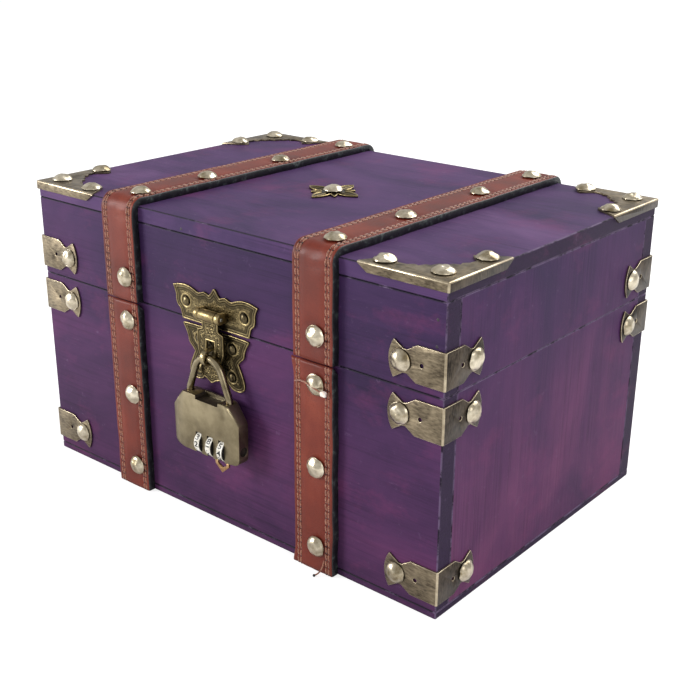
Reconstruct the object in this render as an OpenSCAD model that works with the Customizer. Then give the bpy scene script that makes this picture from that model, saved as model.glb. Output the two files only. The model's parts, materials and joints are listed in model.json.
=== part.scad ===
// Keepsake box: stained wooden chest with leather straps, brass fittings, a hasp and a padlock.
// Origin: centre of the underside. X runs along the front, Y to the back, Z up.

/* [Box] */
// Length of the box along its front
box_w = 220; // [210:1:280]
// Depth of the box from front to back
box_d = 150; // [140:1:220]
// Height of the seam between body and lid
body_h = 88; // [84:1:130]
// Height of the lid above the seam
lid_h = 41; // [36:1:60]
// Thickness of the upright boards
wall = 8; // [7:0.5:10]
// Thickness of the top board
top_t = 6.5; // [6:0.25:10]
// Thickness of the base board
base_t = 3; // [2.5:0.5:6]

/* [Straps] */
// Distance of each strap's middle from the middle of the box
strap_x = 53.5; // [46:0.5:62]
// Width of a strap
strap_w = 19.5; // [15:0.5:21]
// Thickness of a strap
strap_t = 3.5; // [2:0.25:4]
// Radius of the outside of a strap where it turns over an edge
strap_bend_r = 6; // [3.5:0.5:7]
// Distance of a strap's cut ends from the seam and from the ground
strap_end_gap = 0.3; // [0.2:0.1:1]
// How far the nails sit to the right of the left strap's middle
nail_shift_left = 3.2; // [0:0.1:3.5]
// How far the nails sit to the right of the right strap's middle
nail_shift_right = 1.7; // [0:0.1:3.5]
// Distance of the nails nearest the seam below it
seam_nail_below = 8.5; // [7:0.5:12]
// Distance of the nails nearest the seam above it
seam_nail_above = 10.5; // [7:0.5:14]
// Height of the lowest strap nails
foot_nail_z = 11.3; // [8:0.1:16]
// Distance of the first strap nail on the top from the front edge
top_nail_front = 7.5; // [7:0.5:12]
// Distance of the last strap nail on the top from the back edge
top_nail_back = 12; // [8:0.5:16]

/* [Dome nails] */
// Diameter of a domed head
nail_head_d = 8.8; // [7:0.1:10]
// Height of a domed head
nail_head_h = 2.7; // [1.5:0.1:3.2]
// Diameter of a nail's shank
nail_shank_d = 1.6; // [1.2:0.1:2]
// Length of shank in the wood
nail_bite = 5.2; // [4:0.1:5.5]
// Clearance around a shank
nail_gap = 0.1; // [0.05:0.01:0.2]

/* [Small nails] */
// Diameter of the head of a latch or hinge nail
tack_head_d = 3.6; // [3:0.1:4.2]
// Height of the head of a latch or hinge nail
tack_head_h = 0.9; // [0.6:0.1:1.2]
// Diameter of the shank of a latch or hinge nail
tack_shank_d = 1.3; // [1:0.1:1.6]

/* [Corner brackets] */
// Thickness of the sheet brass
sheet_t = 0.8; // [0.6:0.1:1]
// Height of a bracket's band
bracket_h = 14; // [12:0.5:16]
// Length of a bracket's leg on the front or back
bracket_long = 23.5; // [22:0.5:25]
// Length of a bracket's leg on an end
bracket_short = 22.3; // [21:0.1:24]
// Distance of a bracket's nail from the tip of its leg
bracket_nail_in = 5.3; // [5:0.1:6]
// Distance of a bracket's middle from the seam
bracket_seam = 10; // [8.5:0.5:12]
// Height of the middle of a foot bracket
bracket_foot_z = 13.4; // [9:0.1:18]
// Diameter of the spare nail hole in each leg
spare_hole_d = 1.7; // [1.2:0.1:2]
// Distance of the spare nail hole from the corner
spare_hole_in = 9.3; // [8:0.1:10]

/* [Lid corner plates] */
// Length of a corner plate's arms
plate_arm = 38; // [34:0.5:42]
// Height of the folded lip
plate_lip = 2.9; // [2.2:0.1:5.5]
// Distance of the nail in the corner from both edges
plate_corner_nail = 7.4; // [6.5:0.1:9]
// Distance of the end nails along an arm
plate_end_nail = 30.5; // [28:0.5:32]
// Distance of the end nails from the edge
plate_end_in = 5.2; // [5:0.1:6]

/* [Rosette] */
// Length of a petal
petal_len = 13.7; // [11:0.1:16]
// Width of a petal
petal_w = 6; // [4.5:0.1:7]
// Reach of the small points between the petals
petal_point = 9.5; // [7:0.1:10.5]
// Thickness of the rosette
rosette_t = 1; // [0.8:0.1:1.4]
// Distance of the rosette in front of the middle of the top
rosette_y = 4.5; // [0:0.5:12]

/* [Latch] */
// Thickness of the cast latch plates
latch_t = 1; // [0.8:0.1:1.4]
// Height of the hasp's pin above the seam
pin_z = 5.2; // [4.8:0.1:6]
// Distance of the hasp's pin in front of the box
pin_off = 4; // [3.8:0.1:4.4]
// Outer radius of the hasp's knuckles
knuckle_r = 2.3; // [2:0.1:2.5]
// Diameter of the hasp's pin
pin_d = 1.6; // [1.2:0.1:2]
// Clearance of a pin in its knuckles
pin_gap = 0.05; // [0.02:0.01:0.09]
// Half the width of the hasp's own knuckle
tongue_neck = 4.3; // [3.8:0.1:4.8]
// Width of each knuckle of the upper plate
side_knuckle = 2.4; // [2:0.1:3]
// Thickness of the hasp tongue
tongue_t = 1.2; // [1:0.1:1.4]
// How far the tongue's middle lies behind the pin's axis
tongue_in = 0.6; // [0.3:0.1:0.9]
// Half the width of the slot in the tongue
slot_half_w = 2.4; // [1.7:0.1:2.8]
// Gap between moving faces
run_gap = 0.3; // [0.2:0.05:0.5]

/* [Staple] */
// Height of the staple's middle below the seam
staple_z = 11.6; // [11:0.1:12]
// Thickness of the staple across the box
staple_w = 2.2; // [1.6:0.1:2.6]
// Wall of the staple's eye
staple_wall = 1.1; // [1:0.1:1.5]

/* [Padlock] */
// Distance of the padlock's middle to the right of the staple
lock_x = 0.9; // [0:0.1:1]
// Diameter of the shackle's wire
shackle_d = 3; // [2.8:0.1:3.5]
// Distance between the middles of the shackle's legs at the case
shackle_span = 22.4; // [21:0.1:23.5]
// Radius of the middle of the wire in the shackle's arch
arch_r = 8; // [7.5:0.1:9]
// Height of the inside of the shackle above the case
shackle_rise = 14.6; // [12.8:0.1:17]
// Length of the long leg inside the case
long_leg = 19; // [16:0.5:19.5]
// Travel of the case when the lock is open
pull = 8; // [6:0.5:9]
// Height of the case
case_h = 25.1; // [24:0.1:30]
// Width of the case at its top
case_top_w = 27.8; // [27.4:0.1:30]
// Greatest width of the case
case_w = 37; // [34:0.5:40]
// Width of the case at its foot
case_foot_w = 36.6; // [34:0.1:38]
// Thickness of the case
case_t = 7; // [6.4:0.1:8]
// Width of the bevels along the case's sides
case_bevel_w = 3.4; // [2.6:0.1:3.8]
// Depth of the bevels along the case's sides
case_bevel = 0.9; // [0.6:0.1:1.2]
// Height of the dials' axis above the case's foot
dial_z = 4.2; // [3.8:0.1:4.6]
// Distance of the dials' axis in front of the case's middle
dial_fwd = 0.2; // [0:0.1:0.6]
// Radius of a dial
dial_r = 5; // [4.7:0.1:5.2]
// Width of a dial
dial_w = 2.9; // [2.6:0.1:3.2]
// Distance between two dials
dial_pitch = 6.5; // [6:0.1:7]
// Distance of the middle dial to the right of the case's middle
dial_shift = 2.7; // [2.3:0.1:3.2]
// Diameter of the dials' spindle
spindle_d = 2.4; // [2:0.1:3]

/* [Back hinges] */
// Distance of each hinge from the middle of the box
hinge_x = 27; // [18:0.5:28]
// Width of a hinge
hinge_w = 25; // [20:0.5:30]
// Height of one leaf below or above the seam
leaf_h = 14; // [12:0.5:18]
// Thickness of a leaf
leaf_t = 1; // [0.8:0.1:1.2]
// Outer radius of a back hinge's knuckles
hinge_r = 2.4; // [2.2:0.1:2.6]
// Diameter of a back hinge's pin
hinge_pin_d = 1.8; // [1.4:0.1:2.2]
// Clearance of the hinge axis behind the straps
hinge_clear = 0.2; // [0.1:0.1:0.6]

/* [Hidden] */

wood_col = "#4b3560";
leather_col = "#8a4636";
brass_col = "#7d7358";
nail_col = "#b8ad8a";
latch_col = "#8c7f55";
padlock_col = "#a3966e";
dial_col = "#d8d4c8";

box_h = body_h + lid_h;
front_y = -box_d / 2;
back_y = box_d / 2;
end_x = box_w / 2;
eps = 0.01;
$fn = 48;

// Hand-set nails stray a little from even spacing along the top: left strap, right strap
top_nail_count = 4;
top_nail_stray = [[0, -6, -3, -1], [0, -2, 5, 2]];

// Nails are [face, along, across, thickness under the head]. Along is X, or Y on an end.
function strap_nail_x(s) = s * strap_x + (s < 0 ? nail_shift_left : nail_shift_right);
strap_high_z = body_h - seam_nail_below;
strap_zs = [strap_high_z, (strap_high_z + foot_nail_z) / 2, foot_nail_z];
function top_nail_y(s, i) =
    front_y + top_nail_front + i * (box_d - top_nail_front - top_nail_back) / (top_nail_count - 1)
    + top_nail_stray[s < 0 ? 0 : 1][i];

body_strap_list = [for (f = ["front", "back"], s = [-1, 1], z = strap_zs)
    [f, strap_nail_x(s), z, strap_t]];
lid_strap_list = concat(
    [for (f = ["front", "back"], s = [-1, 1])
        [f, strap_nail_x(s), body_h + seam_nail_above, strap_t]],
    [for (s = [-1, 1], i = [0:top_nail_count - 1])
        ["top", strap_nail_x(s), top_nail_y(s, i), strap_t]]
);

long_nail_x = end_x - bracket_long + bracket_nail_in;
short_nail_y = -front_y - bracket_short + bracket_nail_in;
function bracket_list(sx, sy, z) = [
    [sy < 0 ? "front" : "back", sx * long_nail_x, z, sheet_t],
    [sx < 0 ? "left" : "right", sy * short_nail_y, z, sheet_t]
];
body_bracket_list = concat(
    [for (sx = [-1, 1], sy = [-1, 1]) each bracket_list(sx, sy, body_h - bracket_seam)],
    [for (sx = [-1, 1]) each bracket_list(sx, -1, bracket_foot_z)]
);
lid_bracket_list = [for (sx = [-1, 1], sy = [-1, 1])
    each bracket_list(sx, sy, body_h + bracket_seam)];

plate_nail_spots = [
    [plate_corner_nail, plate_corner_nail], [plate_end_nail, plate_end_in], [plate_end_in, plate_end_nail]
];
corner_plate_list = [for (sx = [-1, 1], sy = [-1, 1], p = plate_nail_spots)
    ["top", sx * (end_x - p[0]), sy * (back_y - p[1]), sheet_t]];
rosette_list = [["top", 0, -rosette_y, rosette_t]];

// Small nails of the latch plates and the hinges
latch_nail_x = 16.3;
latch_nail_rise = 7.2;
keeper_high_x = 9.3;
keeper_high_drop = 7.3;
keeper_low_x = 8.8;
keeper_low_drop = 19.4;
latch_nail_spots = [for (s = [-1, 1]) [s * latch_nail_x, body_h + latch_nail_rise]];
keeper_nail_half = [[keeper_high_x, keeper_high_drop], [keeper_low_x, keeper_low_drop]];
keeper_nail_spots = [for (s = [-1, 1], p = keeper_nail_half) [s * p[0], body_h - p[1]]];
latch_list = [for (p = latch_nail_spots) ["front", p[0], p[1], latch_t]];
keeper_list = [for (p = keeper_nail_spots) ["front", p[0], p[1], latch_t]];
hinge_nail_in = 4.6;
hinge_nail_x = hinge_w / 2 - hinge_nail_in;
hinge_nail_z = leaf_h - hinge_nail_in;
function hinge_list(up) = [for (s = [-1, 1], t = [-1, 1])
    ["back", s * hinge_x + t * hinge_nail_x, body_h + up * hinge_nail_z, leaf_t]];

body_dome_list = concat(body_strap_list, body_bracket_list);
body_tack_list = concat(keeper_list, hinge_list(-1));
lid_dome_list = concat(lid_strap_list, lid_bracket_list, corner_plate_list, rosette_list);
lid_tack_list = concat(latch_list, hinge_list(1));
function on(list, face) = [for (n = list) if (n[0] == face) n];

// Puts children on a face of the box with their Z axis pointing out of it
module on_face(face, along, across) {
    if (face == "front") translate([along, front_y, across]) rotate([90, 0, 0]) children();
    if (face == "back") translate([along, back_y, across]) rotate([90, 0, 180]) children();
    if (face == "right") translate([end_x, along, across]) rotate([90, 0, 90]) children();
    if (face == "left") translate([-end_x, along, across]) rotate([90, 0, -90]) children();
    if (face == "top") translate([along, across, box_h]) children();
}

// Copies a front right corner piece to another corner
module at_corner(sx, sy) {
    mirror([sx < 0 ? 1 : 0, 0, 0]) mirror([0, sy > 0 ? 1 : 0, 0]) children();
}

module cap(d, h) {
    ball_r = (d * d / 4 + h * h) / (2 * h);
    intersection() {
        translate([0, 0, h - ball_r]) sphere(r = ball_r);
        cylinder(d = 2 * d, h = h + eps);
    }
}

module nails(list, head_d, head_h, shank_d) {
    for (n = list) on_face(n[0], n[1], n[2]) translate([0, 0, n[3]]) {
        cap(head_d, head_h);
        translate([0, 0, -n[3] - nail_bite]) cylinder(d = shank_d, h = n[3] + nail_bite + eps);
    }
}
module dome_nails(list) { color(nail_col) nails(list, nail_head_d, nail_head_h, nail_shank_d); }
module tacks(list) { color(latch_col) nails(list, tack_head_d, tack_head_h, tack_shank_d); }

// Holes for shanks, from inside the wood to past the head's seat
module holes(list, shank_d) {
    for (n = list) on_face(n[0], n[1], n[2])
        translate([0, 0, -nail_bite - nail_gap])
            cylinder(d = shank_d + 2 * nail_gap, h = nail_bite + nail_gap + n[3] + 1);
}
module dome_holes(list) { holes(list, nail_shank_d); }
module tack_holes(list) { holes(list, tack_shank_d); }

module slab(low, high) { translate(low) cube(high - low); }

// ---- Boards ----

module base_board() {
    color(wood_col) slab([-end_x, front_y, 0], [end_x, back_y, base_t]);
}

module long_board(face, z0, z1, domes, small) {
    y0 = face == "front" ? front_y : back_y - wall;
    color(wood_col) difference() {
        slab([-end_x, y0, z0], [end_x, y0 + wall, z1]);
        dome_holes(on(domes, face));
        tack_holes(on(small, face));
    }
}

module end_board(face, z0, z1, domes) {
    x0 = face == "left" ? -end_x : end_x - wall;
    color(wood_col) difference() {
        slab([x0, front_y + wall, z0], [x0 + wall, back_y - wall, z1]);
        dome_holes(on(domes, face));
    }
}

module lid_top_board() {
    color(wood_col) difference() {
        slab([-end_x, front_y, box_h - top_t], [end_x, back_y, box_h]);
        dome_holes(on(lid_dome_list, "top"));
    }
}

// ---- Straps ----

module body_strap(face, s) {
    y0 = face == "front" ? front_y - strap_t : back_y;
    color(leather_col) difference() {
        slab([s * strap_x - strap_w / 2, y0, strap_end_gap],
            [s * strap_x + strap_w / 2, y0 + strap_t, body_h - strap_end_gap]);
        dome_holes(on(body_strap_list, face));
    }
}

module rounded_top(w, h, r) {
    translate([-w / 2, 0]) square([w, h - r]);
    translate([-w / 2 + r, 0]) square([w - 2 * r, h]);
    for (s = [-1, 1]) translate([s * (w / 2 - r), h - r]) circle(r = r);
}

module lid_strap(s) {
    color(leather_col) difference() {
        translate([s * strap_x - strap_w / 2, 0, body_h + strap_end_gap])
            rotate([90, 0, 90]) linear_extrude(strap_w) difference() {
                rounded_top(box_d + 2 * strap_t, lid_h + strap_t - strap_end_gap, strap_bend_r);
                translate([-box_d / 2, -1]) square([box_d, lid_h - strap_end_gap + 1]);
            }
        dome_holes(lid_strap_list);
    }
}

// ---- Corner brackets ----

// Places along a leg, measured back from its tip, and the depth of the notch at its neck
fishtail_in = 2.3;
neck_in = 8;
neck_run = 1.6;
band_in = 12;
neck_cut = 2.6;
tip_arc_r = 13;

// One leg lying flat: the bend is at x = 0, the fishtail tip at x = leg
module bracket_leg(leg) {
    half = bracket_h / 2;
    band = leg - band_in;
    neck = leg - neck_in;
    tip = leg - fishtail_in;
    waist = half - neck_cut;
    difference() {
        intersection() {
            polygon([
                [-sheet_t, -half], [band, -half], [neck, -waist], [neck + neck_run, -waist],
                [tip, -half], [leg, -half], [leg, half], [tip, half],
                [neck + neck_run, waist], [neck, waist], [band, half], [-sheet_t, half]
            ]);
            translate([leg - tip_arc_r, 0]) circle(r = tip_arc_r);
        }
        translate([spare_hole_in, 0]) circle(d = spare_hole_d);
        translate([leg - bracket_nail_in, 0]) circle(d = dome_hole_d);
    }
}

module bracket(sx, sy, z) {
    color(brass_col) at_corner(sx, sy) translate([end_x, front_y, z]) {
        rotate([90, 0, 0]) mirror([1, 0, 0])
            linear_extrude(sheet_t) bracket_leg(bracket_long);
        rotate([90, 0, 90]) linear_extrude(sheet_t) bracket_leg(bracket_short);
    }
}

// ---- Lid corner plates ----

// Inner edge of the flange, from the end of one arm to the diagonal
flange_half = [
    [plate_arm - 2.2, 3.2], [plate_end_nail + 1.9, 9.4], [plate_end_nail - 0.2, 11],
    [plate_end_nail - 2.3, 9.2], [plate_end_nail - 4.7, 6.4], [22, 6.8], [20.3, 8.6],
    [18.2, 8], [17.2, 10.6], [15.2, 11.2], [14.2, 14.2]
];
// How far the lip's end is cut back at its foot
lip_clip = 4.3;

module flange() {
    n = len(flange_half);
    difference() {
        polygon(concat(
            [[-sheet_t, -sheet_t], [plate_arm, -sheet_t]],
            flange_half,
            [for (i = [n - 2:-1:0]) [flange_half[i][1], flange_half[i][0]]],
            [[-sheet_t, plate_arm]]
        ));
        for (p = plate_nail_spots) translate(p) circle(d = dome_hole_d);
    }
}

module lip() {
    polygon([
        [-sheet_t, 0], [plate_arm, 0], [plate_arm - lip_clip, -plate_lip], [-sheet_t, -plate_lip]
    ]);
}

module corner_plate(sx, sy) {
    color(brass_col) at_corner(sx, sy) translate([end_x, front_y, box_h]) {
        mirror([1, 0, 0]) linear_extrude(sheet_t) flange();
        translate([0, 0, eps]) rotate([90, 0, 0]) mirror([1, 0, 0]) linear_extrude(sheet_t) lip();
        translate([0, 0, eps]) rotate([90, 0, 90]) linear_extrude(sheet_t) lip();
    }
}

// ---- Rosette ----

module petal(length, width) {
    bow = (length * length / 4 + width * width / 4) / width;
    intersection() {
        translate([length / 2, bow - width / 2]) circle(r = bow, $fn = 96);
        translate([length / 2, width / 2 - bow]) circle(r = bow, $fn = 96);
    }
}

module rosette() {
    color(brass_col) translate([0, -rosette_y, box_h]) linear_extrude(rosette_t) difference() {
        union() {
            circle(r = petal_w * 0.7);
            for (a = [0:90:270]) rotate(a) petal(petal_len, petal_w);
            for (a = [45:90:315]) rotate(a) petal(petal_point, petal_w * 0.5);
        }
        circle(d = dome_hole_d);
    }
}

// ---- Latch ----

function both_sides(half) = concat(half, [for (i = [len(half) - 1:-1:0]) [-half[i][0], half[i][1]]]);

// Half outlines from the middle outwards, as [x, height from the seam]
latch_half = [
    [0.4, 15.5], [1.5, 13.6], [3.1, 12.1], [4.6, 12.8], [6.2, 13.1], [8.1, 12.3], [9.5, 12],
    [12.4, 13.3], [15.6, 14], [19.4, 13.9], [23.6, 12.8], [22.5, 10.6], [21.9, 8.8],
    [22.1, 6.8], [21.4, 4.6], [19.8, 3.6], [19.2, 1.8], [18.6, -0.6]
];
keeper_half = [
    [17.9, -1.8], [18.5, -2.6], [17, -5], [15.8, -7.5], [15.6, -10], [13.2, -12], [12.2, -13.3],
    [13.4, -15.7], [15, -19], [15.8, -22.8], [13.8, -24.8], [10.5, -25.2], [7.5, -24],
    [5, -20.6], [2, -19.6]
];
tongue_half = [
    [tongue_neck, pin_z], [tongue_neck, -0.6], [5.6, -1.1], [7.1, -1.7], [7.2, -9], [6.7, -11.2],
    [5.6, -13.2], [4.7, -14.8], [5.6, -16.2], [6.3, -18.2], [6.3, -19.7], [5.6, -21.1],
    [3.7, -21.4], [1.8, -22.2], [0.4, -23.2]
];
slot_top = -5.3;
boss_half = tongue_neck + run_gap + side_knuckle;

wire_gap = 0.55;
wire_drop = 0.1;
eye_gap = 0.7;
tongue_off = pin_off - tongue_in;
wire_off = tongue_off + tongue_t / 2 + wire_gap + shackle_d / 2;
wire_z = -staple_z - wire_drop;
eye_r = shackle_d / 2 + eye_gap;
eye_outer = eye_r + staple_wall;

web_in = 0.3;
pin_end = 0.4;
hasp_bore_d = pin_d + 2 * pin_gap;
tack_hole_d = tack_shank_d + 2 * nail_gap;
dome_hole_d = nail_shank_d + 2 * nail_gap;

module on_front_seam() { on_face("front", 0, body_h) children(); }

module latch_plate() {
    color(latch_col) on_front_seam() {
        difference() {
            linear_extrude(latch_t) polygon(both_sides(latch_half));
            for (p = latch_nail_spots)
                translate([p[0], p[1] - body_h, -1]) cylinder(d = tack_hole_d, h = latch_t + 2);
        }
        for (s = [0, 1]) mirror([s, 0, 0]) difference() {
            union() {
                translate([boss_half - side_knuckle, pin_z, pin_off]) rotate([0, 90, 0])
                    cylinder(r = knuckle_r, h = side_knuckle);
                translate([boss_half - side_knuckle, pin_z - knuckle_r + web_in, latch_t - eps])
                    cube([side_knuckle, 2 * (knuckle_r - web_in), pin_off - latch_t]);
            }
            translate([boss_half - side_knuckle - 1, pin_z, pin_off]) rotate([0, 90, 0])
                cylinder(d = hasp_bore_d, h = side_knuckle + 2);
        }
    }
}

module hasp_pin() {
    half = boss_half + pin_end;
    color(brass_col) on_front_seam() translate([-half, pin_z, pin_off]) rotate([0, 90, 0])
        cylinder(d = pin_d, h = 2 * half);
}

module hasp_tongue() {
    slot_foot = -staple_z - eye_outer - run_gap;
    color(latch_col) on_front_seam() difference() {
        union() {
            translate([0, 0, tongue_off - tongue_t / 2]) linear_extrude(tongue_t)
                polygon(both_sides(tongue_half));
            translate([-tongue_neck, pin_z, pin_off]) rotate([0, 90, 0])
                cylinder(r = knuckle_r, h = 2 * tongue_neck);
        }
        translate([-tongue_neck - 1, pin_z, pin_off]) rotate([0, 90, 0])
            cylinder(d = hasp_bore_d, h = 2 * tongue_neck + 2);
        translate([-slot_half_w, slot_foot, 0])
            cube([2 * slot_half_w, slot_top - slot_foot, 2 * pin_off]);
    }
}

module keeper_plate() {
    color(latch_col) on_front_seam() difference() {
        linear_extrude(latch_t) polygon(both_sides(keeper_half));
        for (p = keeper_nail_spots)
            translate([p[0], p[1] - body_h, -1]) cylinder(d = tack_hole_d, h = latch_t + 2);
    }
}

// The eye lies in the YZ plane; its foot sits on the keeper plate
module keeper_staple() {
    foot_t = 0.8;
    foot_side = 0.9;
    eye_back = 0.3;
    eye_mid = wire_off - eye_back;
    color(latch_col) translate([-staple_w / 2, front_y, body_h - staple_z]) rotate([90, 0, 90]) {
        linear_extrude(staple_w) mirror([1, 0]) difference() {
            union() {
                translate([latch_t, -eye_outer]) square([eye_mid - latch_t, 2 * eye_outer]);
                translate([eye_mid, 0]) circle(r = eye_outer);
            }
            translate([latch_t + foot_t, -eye_r]) square([eye_mid - latch_t - foot_t, 2 * eye_r]);
            translate([eye_mid, 0]) circle(r = eye_r);
        }
        translate([-latch_t - foot_t, -eye_outer, -foot_side])
            cube([foot_t, 2 * eye_outer, staple_w + 2 * foot_side]);
    }
}

// ---- Padlock, in its own frame: X across, Y up from the seam, Z out of the box's front ----

leg_x = shackle_span / 2;
case_top = wire_z + shackle_d / 2 - shackle_rise - shackle_d;
case_foot = case_top - case_h;
dial_y = case_foot + dial_z;
dial_off = wire_off + dial_fwd;
leg_gap = 0.1;
leg_end_gap = 0.3;
leg_bore_d = shackle_d + 2 * leg_gap;
short_leg = pull - leg_end_gap;
legs = [[-1, long_leg], [1, short_leg]];
dial_gap = 0.9;
dial_side = 0.2;
slot_w = dial_w + 2 * dial_side;

module on_lock(out) { on_front_seam() translate([lock_x, 0, out]) children(); }

// Rings of points around the wire's path, as [middle of the wire, direction to its outer side]
wire_sides = 16;
arch_steps = 18;
knee_steps = 3;
function arc_rings(mid, r, from, to, steps) = [for (i = [0:steps])
    let (a = from + i * (to - from) / steps) [mid + r * [cos(a), sin(a)], [cos(a), sin(a)]]];

// The arch runs on straight from the angle at which it points to the bend above the case
module padlock_shackle() {
    leg_above = 0.5;
    knee_r = 4;
    arch_mid = [0, wire_z - arch_r];
    knee = [leg_x - knee_r, case_top + leg_above];
    reach = knee - arch_mid;
    turn = atan2(reach[1], reach[0]) + acos((arch_r - knee_r) / norm(reach));
    rings = concat(
        [[[leg_x, case_top - short_leg], [1, 0]]],
        arc_rings(knee, knee_r, 0, turn, knee_steps),
        arc_rings(arch_mid, arch_r, turn, 180 - turn, arch_steps),
        arc_rings([-knee[0], knee[1]], knee_r, 180 - turn, 180, knee_steps),
        [[[-leg_x, case_top - long_leg], [-1, 0]]]
    );
    last = len(rings) - 1;
    sides = [0:wire_sides - 1];
    color(padlock_col) on_lock(wire_off) polyhedron(
        points = [for (ring = rings, k = sides) let (a = k * 360 / wire_sides)
            concat(ring[0] + cos(a) * shackle_d / 2 * ring[1], sin(a) * shackle_d / 2)],
        faces = concat(
            [[for (k = sides) wire_sides - 1 - k]],
            [[for (k = sides) last * wire_sides + k]],
            [for (i = [0:last - 1], k = sides) let (n = (k + 1) % wire_sides)
                [k, n, n + wire_sides, k + wire_sides] + i * wire_sides * [1, 1, 1, 1]]
        )
    );
}

bend_steps = 5;
function bend(cx, cy, r, from, to) = [for (i = [0:bend_steps])
    let (a = from + i * (to - from) / bend_steps) [cx + r * cos(a), cy + r * sin(a)]];
case_corner_r = 2;
case_foot_r = 3;
case_belly = 8;
// The bevels are this much narrower at the case's top
bevel_top_share = 0.3;
function case_outline(side_in) = both_sides(concat(
    bend(case_top_w / 2 - case_corner_r - bevel_top_share * side_in, case_h - case_corner_r,
        case_corner_r, 90, 25),
    bend(case_w / 2 - case_corner_r - side_in, case_h - case_belly, case_corner_r, 25, 0),
    bend(case_foot_w / 2 - case_foot_r - side_in, case_foot_r, case_foot_r, 0, -90)
));

module case_block() {
    skin = 0.02;
    hull() {
        translate([0, 0, -case_t / 2 + case_bevel]) linear_extrude(case_t - 2 * case_bevel)
            polygon(case_outline(0));
        for (z = [-case_t / 2, case_t / 2 - skin]) translate([0, 0, z]) linear_extrude(skin)
            polygon(case_outline(case_bevel_w));
    }
}

dial_xs = [for (i = [-1:1]) dial_shift + i * dial_pitch];
// Seats of the spindle's ends beyond the outer slots
spindle_seat_left = 2;
spindle_seat_right = 1;
spindle_end_gap = 0.2;
spindle_x0 = dial_xs[0] - slot_w / 2 - spindle_seat_left;
spindle_x1 = dial_xs[2] + slot_w / 2 + spindle_seat_right;
// The catch bar lies between the legs, clear of their bores
catch_end_gap = 0.5;
catch_depth = 7;
catch_h = 3;
catch_t = 2.6;
catch_gap = 0.3;
catch_side_gap = 0.2;
catch_half = leg_x - leg_bore_d / 2 - catch_end_gap;
catch_y = case_top - catch_depth;

module padlock_case() {
    recess_mid = 1.5;
    recess_half_w = 6.4;
    recess_d = 1.7;
    recess_back = 2.4;
    reset_hole_d = 4;
    reset_hole_z = 5.9;
    reset_hole_depth = 1;
    color(padlock_col) on_lock(wire_off) difference() {
        translate([0, case_foot]) case_block();
        for (leg = legs)
            translate([leg[0] * leg_x, case_top - leg[1] - leg_end_gap]) rotate([-90, 0, 0])
                cylinder(d = leg_bore_d, h = leg[1] + 2, $fn = 32);
        for (x = dial_xs) translate([x - slot_w / 2, dial_y, dial_fwd]) rotate([0, 90, 0])
            cylinder(r = dial_r + dial_gap, h = slot_w);
        translate([spindle_x0 - spindle_end_gap, dial_y, dial_fwd]) rotate([0, 90, 0])
            cylinder(d = spindle_d + 2 * pin_gap, h = spindle_x1 - spindle_x0 + 2 * spindle_end_gap);
        translate([recess_mid - recess_half_w, case_top - recess_d, -recess_back])
            cube([2 * recess_half_w, recess_d + 1, case_t]);
        translate([-catch_half - catch_gap, catch_y, -catch_t / 2 - catch_side_gap])
            cube([2 * (catch_half + catch_gap), catch_h + catch_gap, catch_t + 2 * catch_side_gap]);
        translate([case_foot_w / 2 - reset_hole_depth, case_foot + reset_hole_z])
            rotate([0, 90, 0]) cylinder(d = reset_hole_d, h = case_w);
    }
}

module padlock_catch() {
    color(brass_col) on_lock(wire_off) translate([-catch_half, catch_y, -catch_t / 2])
        cube([2 * catch_half, catch_h, catch_t]);
}

module padlock_spindle() {
    color(brass_col) on_lock(dial_off) translate([spindle_x0, dial_y]) rotate([0, 90, 0])
        cylinder(d = spindle_d, h = spindle_x1 - spindle_x0);
}

module dial(i) {
    color(dial_col) on_lock(dial_off) translate([dial_xs[i] - dial_w / 2, dial_y])
        rotate([0, 90, 0]) difference() {
            cylinder(r = dial_r, h = dial_w);
            translate([0, 0, -1]) cylinder(d = spindle_d + 2 * pin_gap, h = dial_w + 2);
        }
}

// Pointed loop of flat wire below the right dial
module index_loop() {
    wire = 1.5;
    slot_clear = 0.7;
    in_x = slot_w / 2 + slot_clear;
    loop_t = 1;
    face_in = 0.1;
    straight = 1.5;
    inner_straight = 1.2;
    drop = 4.8;
    tip = 2.3;
    color(brass_col) on_lock(wire_off + case_t / 2 - loop_t - face_in)
        translate([dial_xs[2], case_foot]) linear_extrude(loop_t) polygon([
            [-in_x - wire, 0], [-in_x - wire, -straight], [0, -drop],
            [in_x + wire, -straight], [in_x + wire, 0],
            [in_x, 0], [in_x, -inner_straight], [0, -drop + tip],
            [-in_x, -inner_straight], [-in_x, 0]
        ]);
}

// ---- Back hinges ----

axis_off = strap_t + hinge_clear;
knuckle_third = (hinge_w - 2 * run_gap) / 3;
leaf_edge = 1.9;
web_foot = 1.4;
hinge_pin_end = 0.3;
// A point on a knuckle's rim, as [distance from the seam, distance behind the box]
function rim(a) = [hinge_r * cos(a), axis_off + hinge_r * sin(a)];

module on_back_seam(s) {
    on_face("back", s * hinge_x, body_h) translate([-hinge_w / 2, 0, 0]) children();
}

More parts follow.
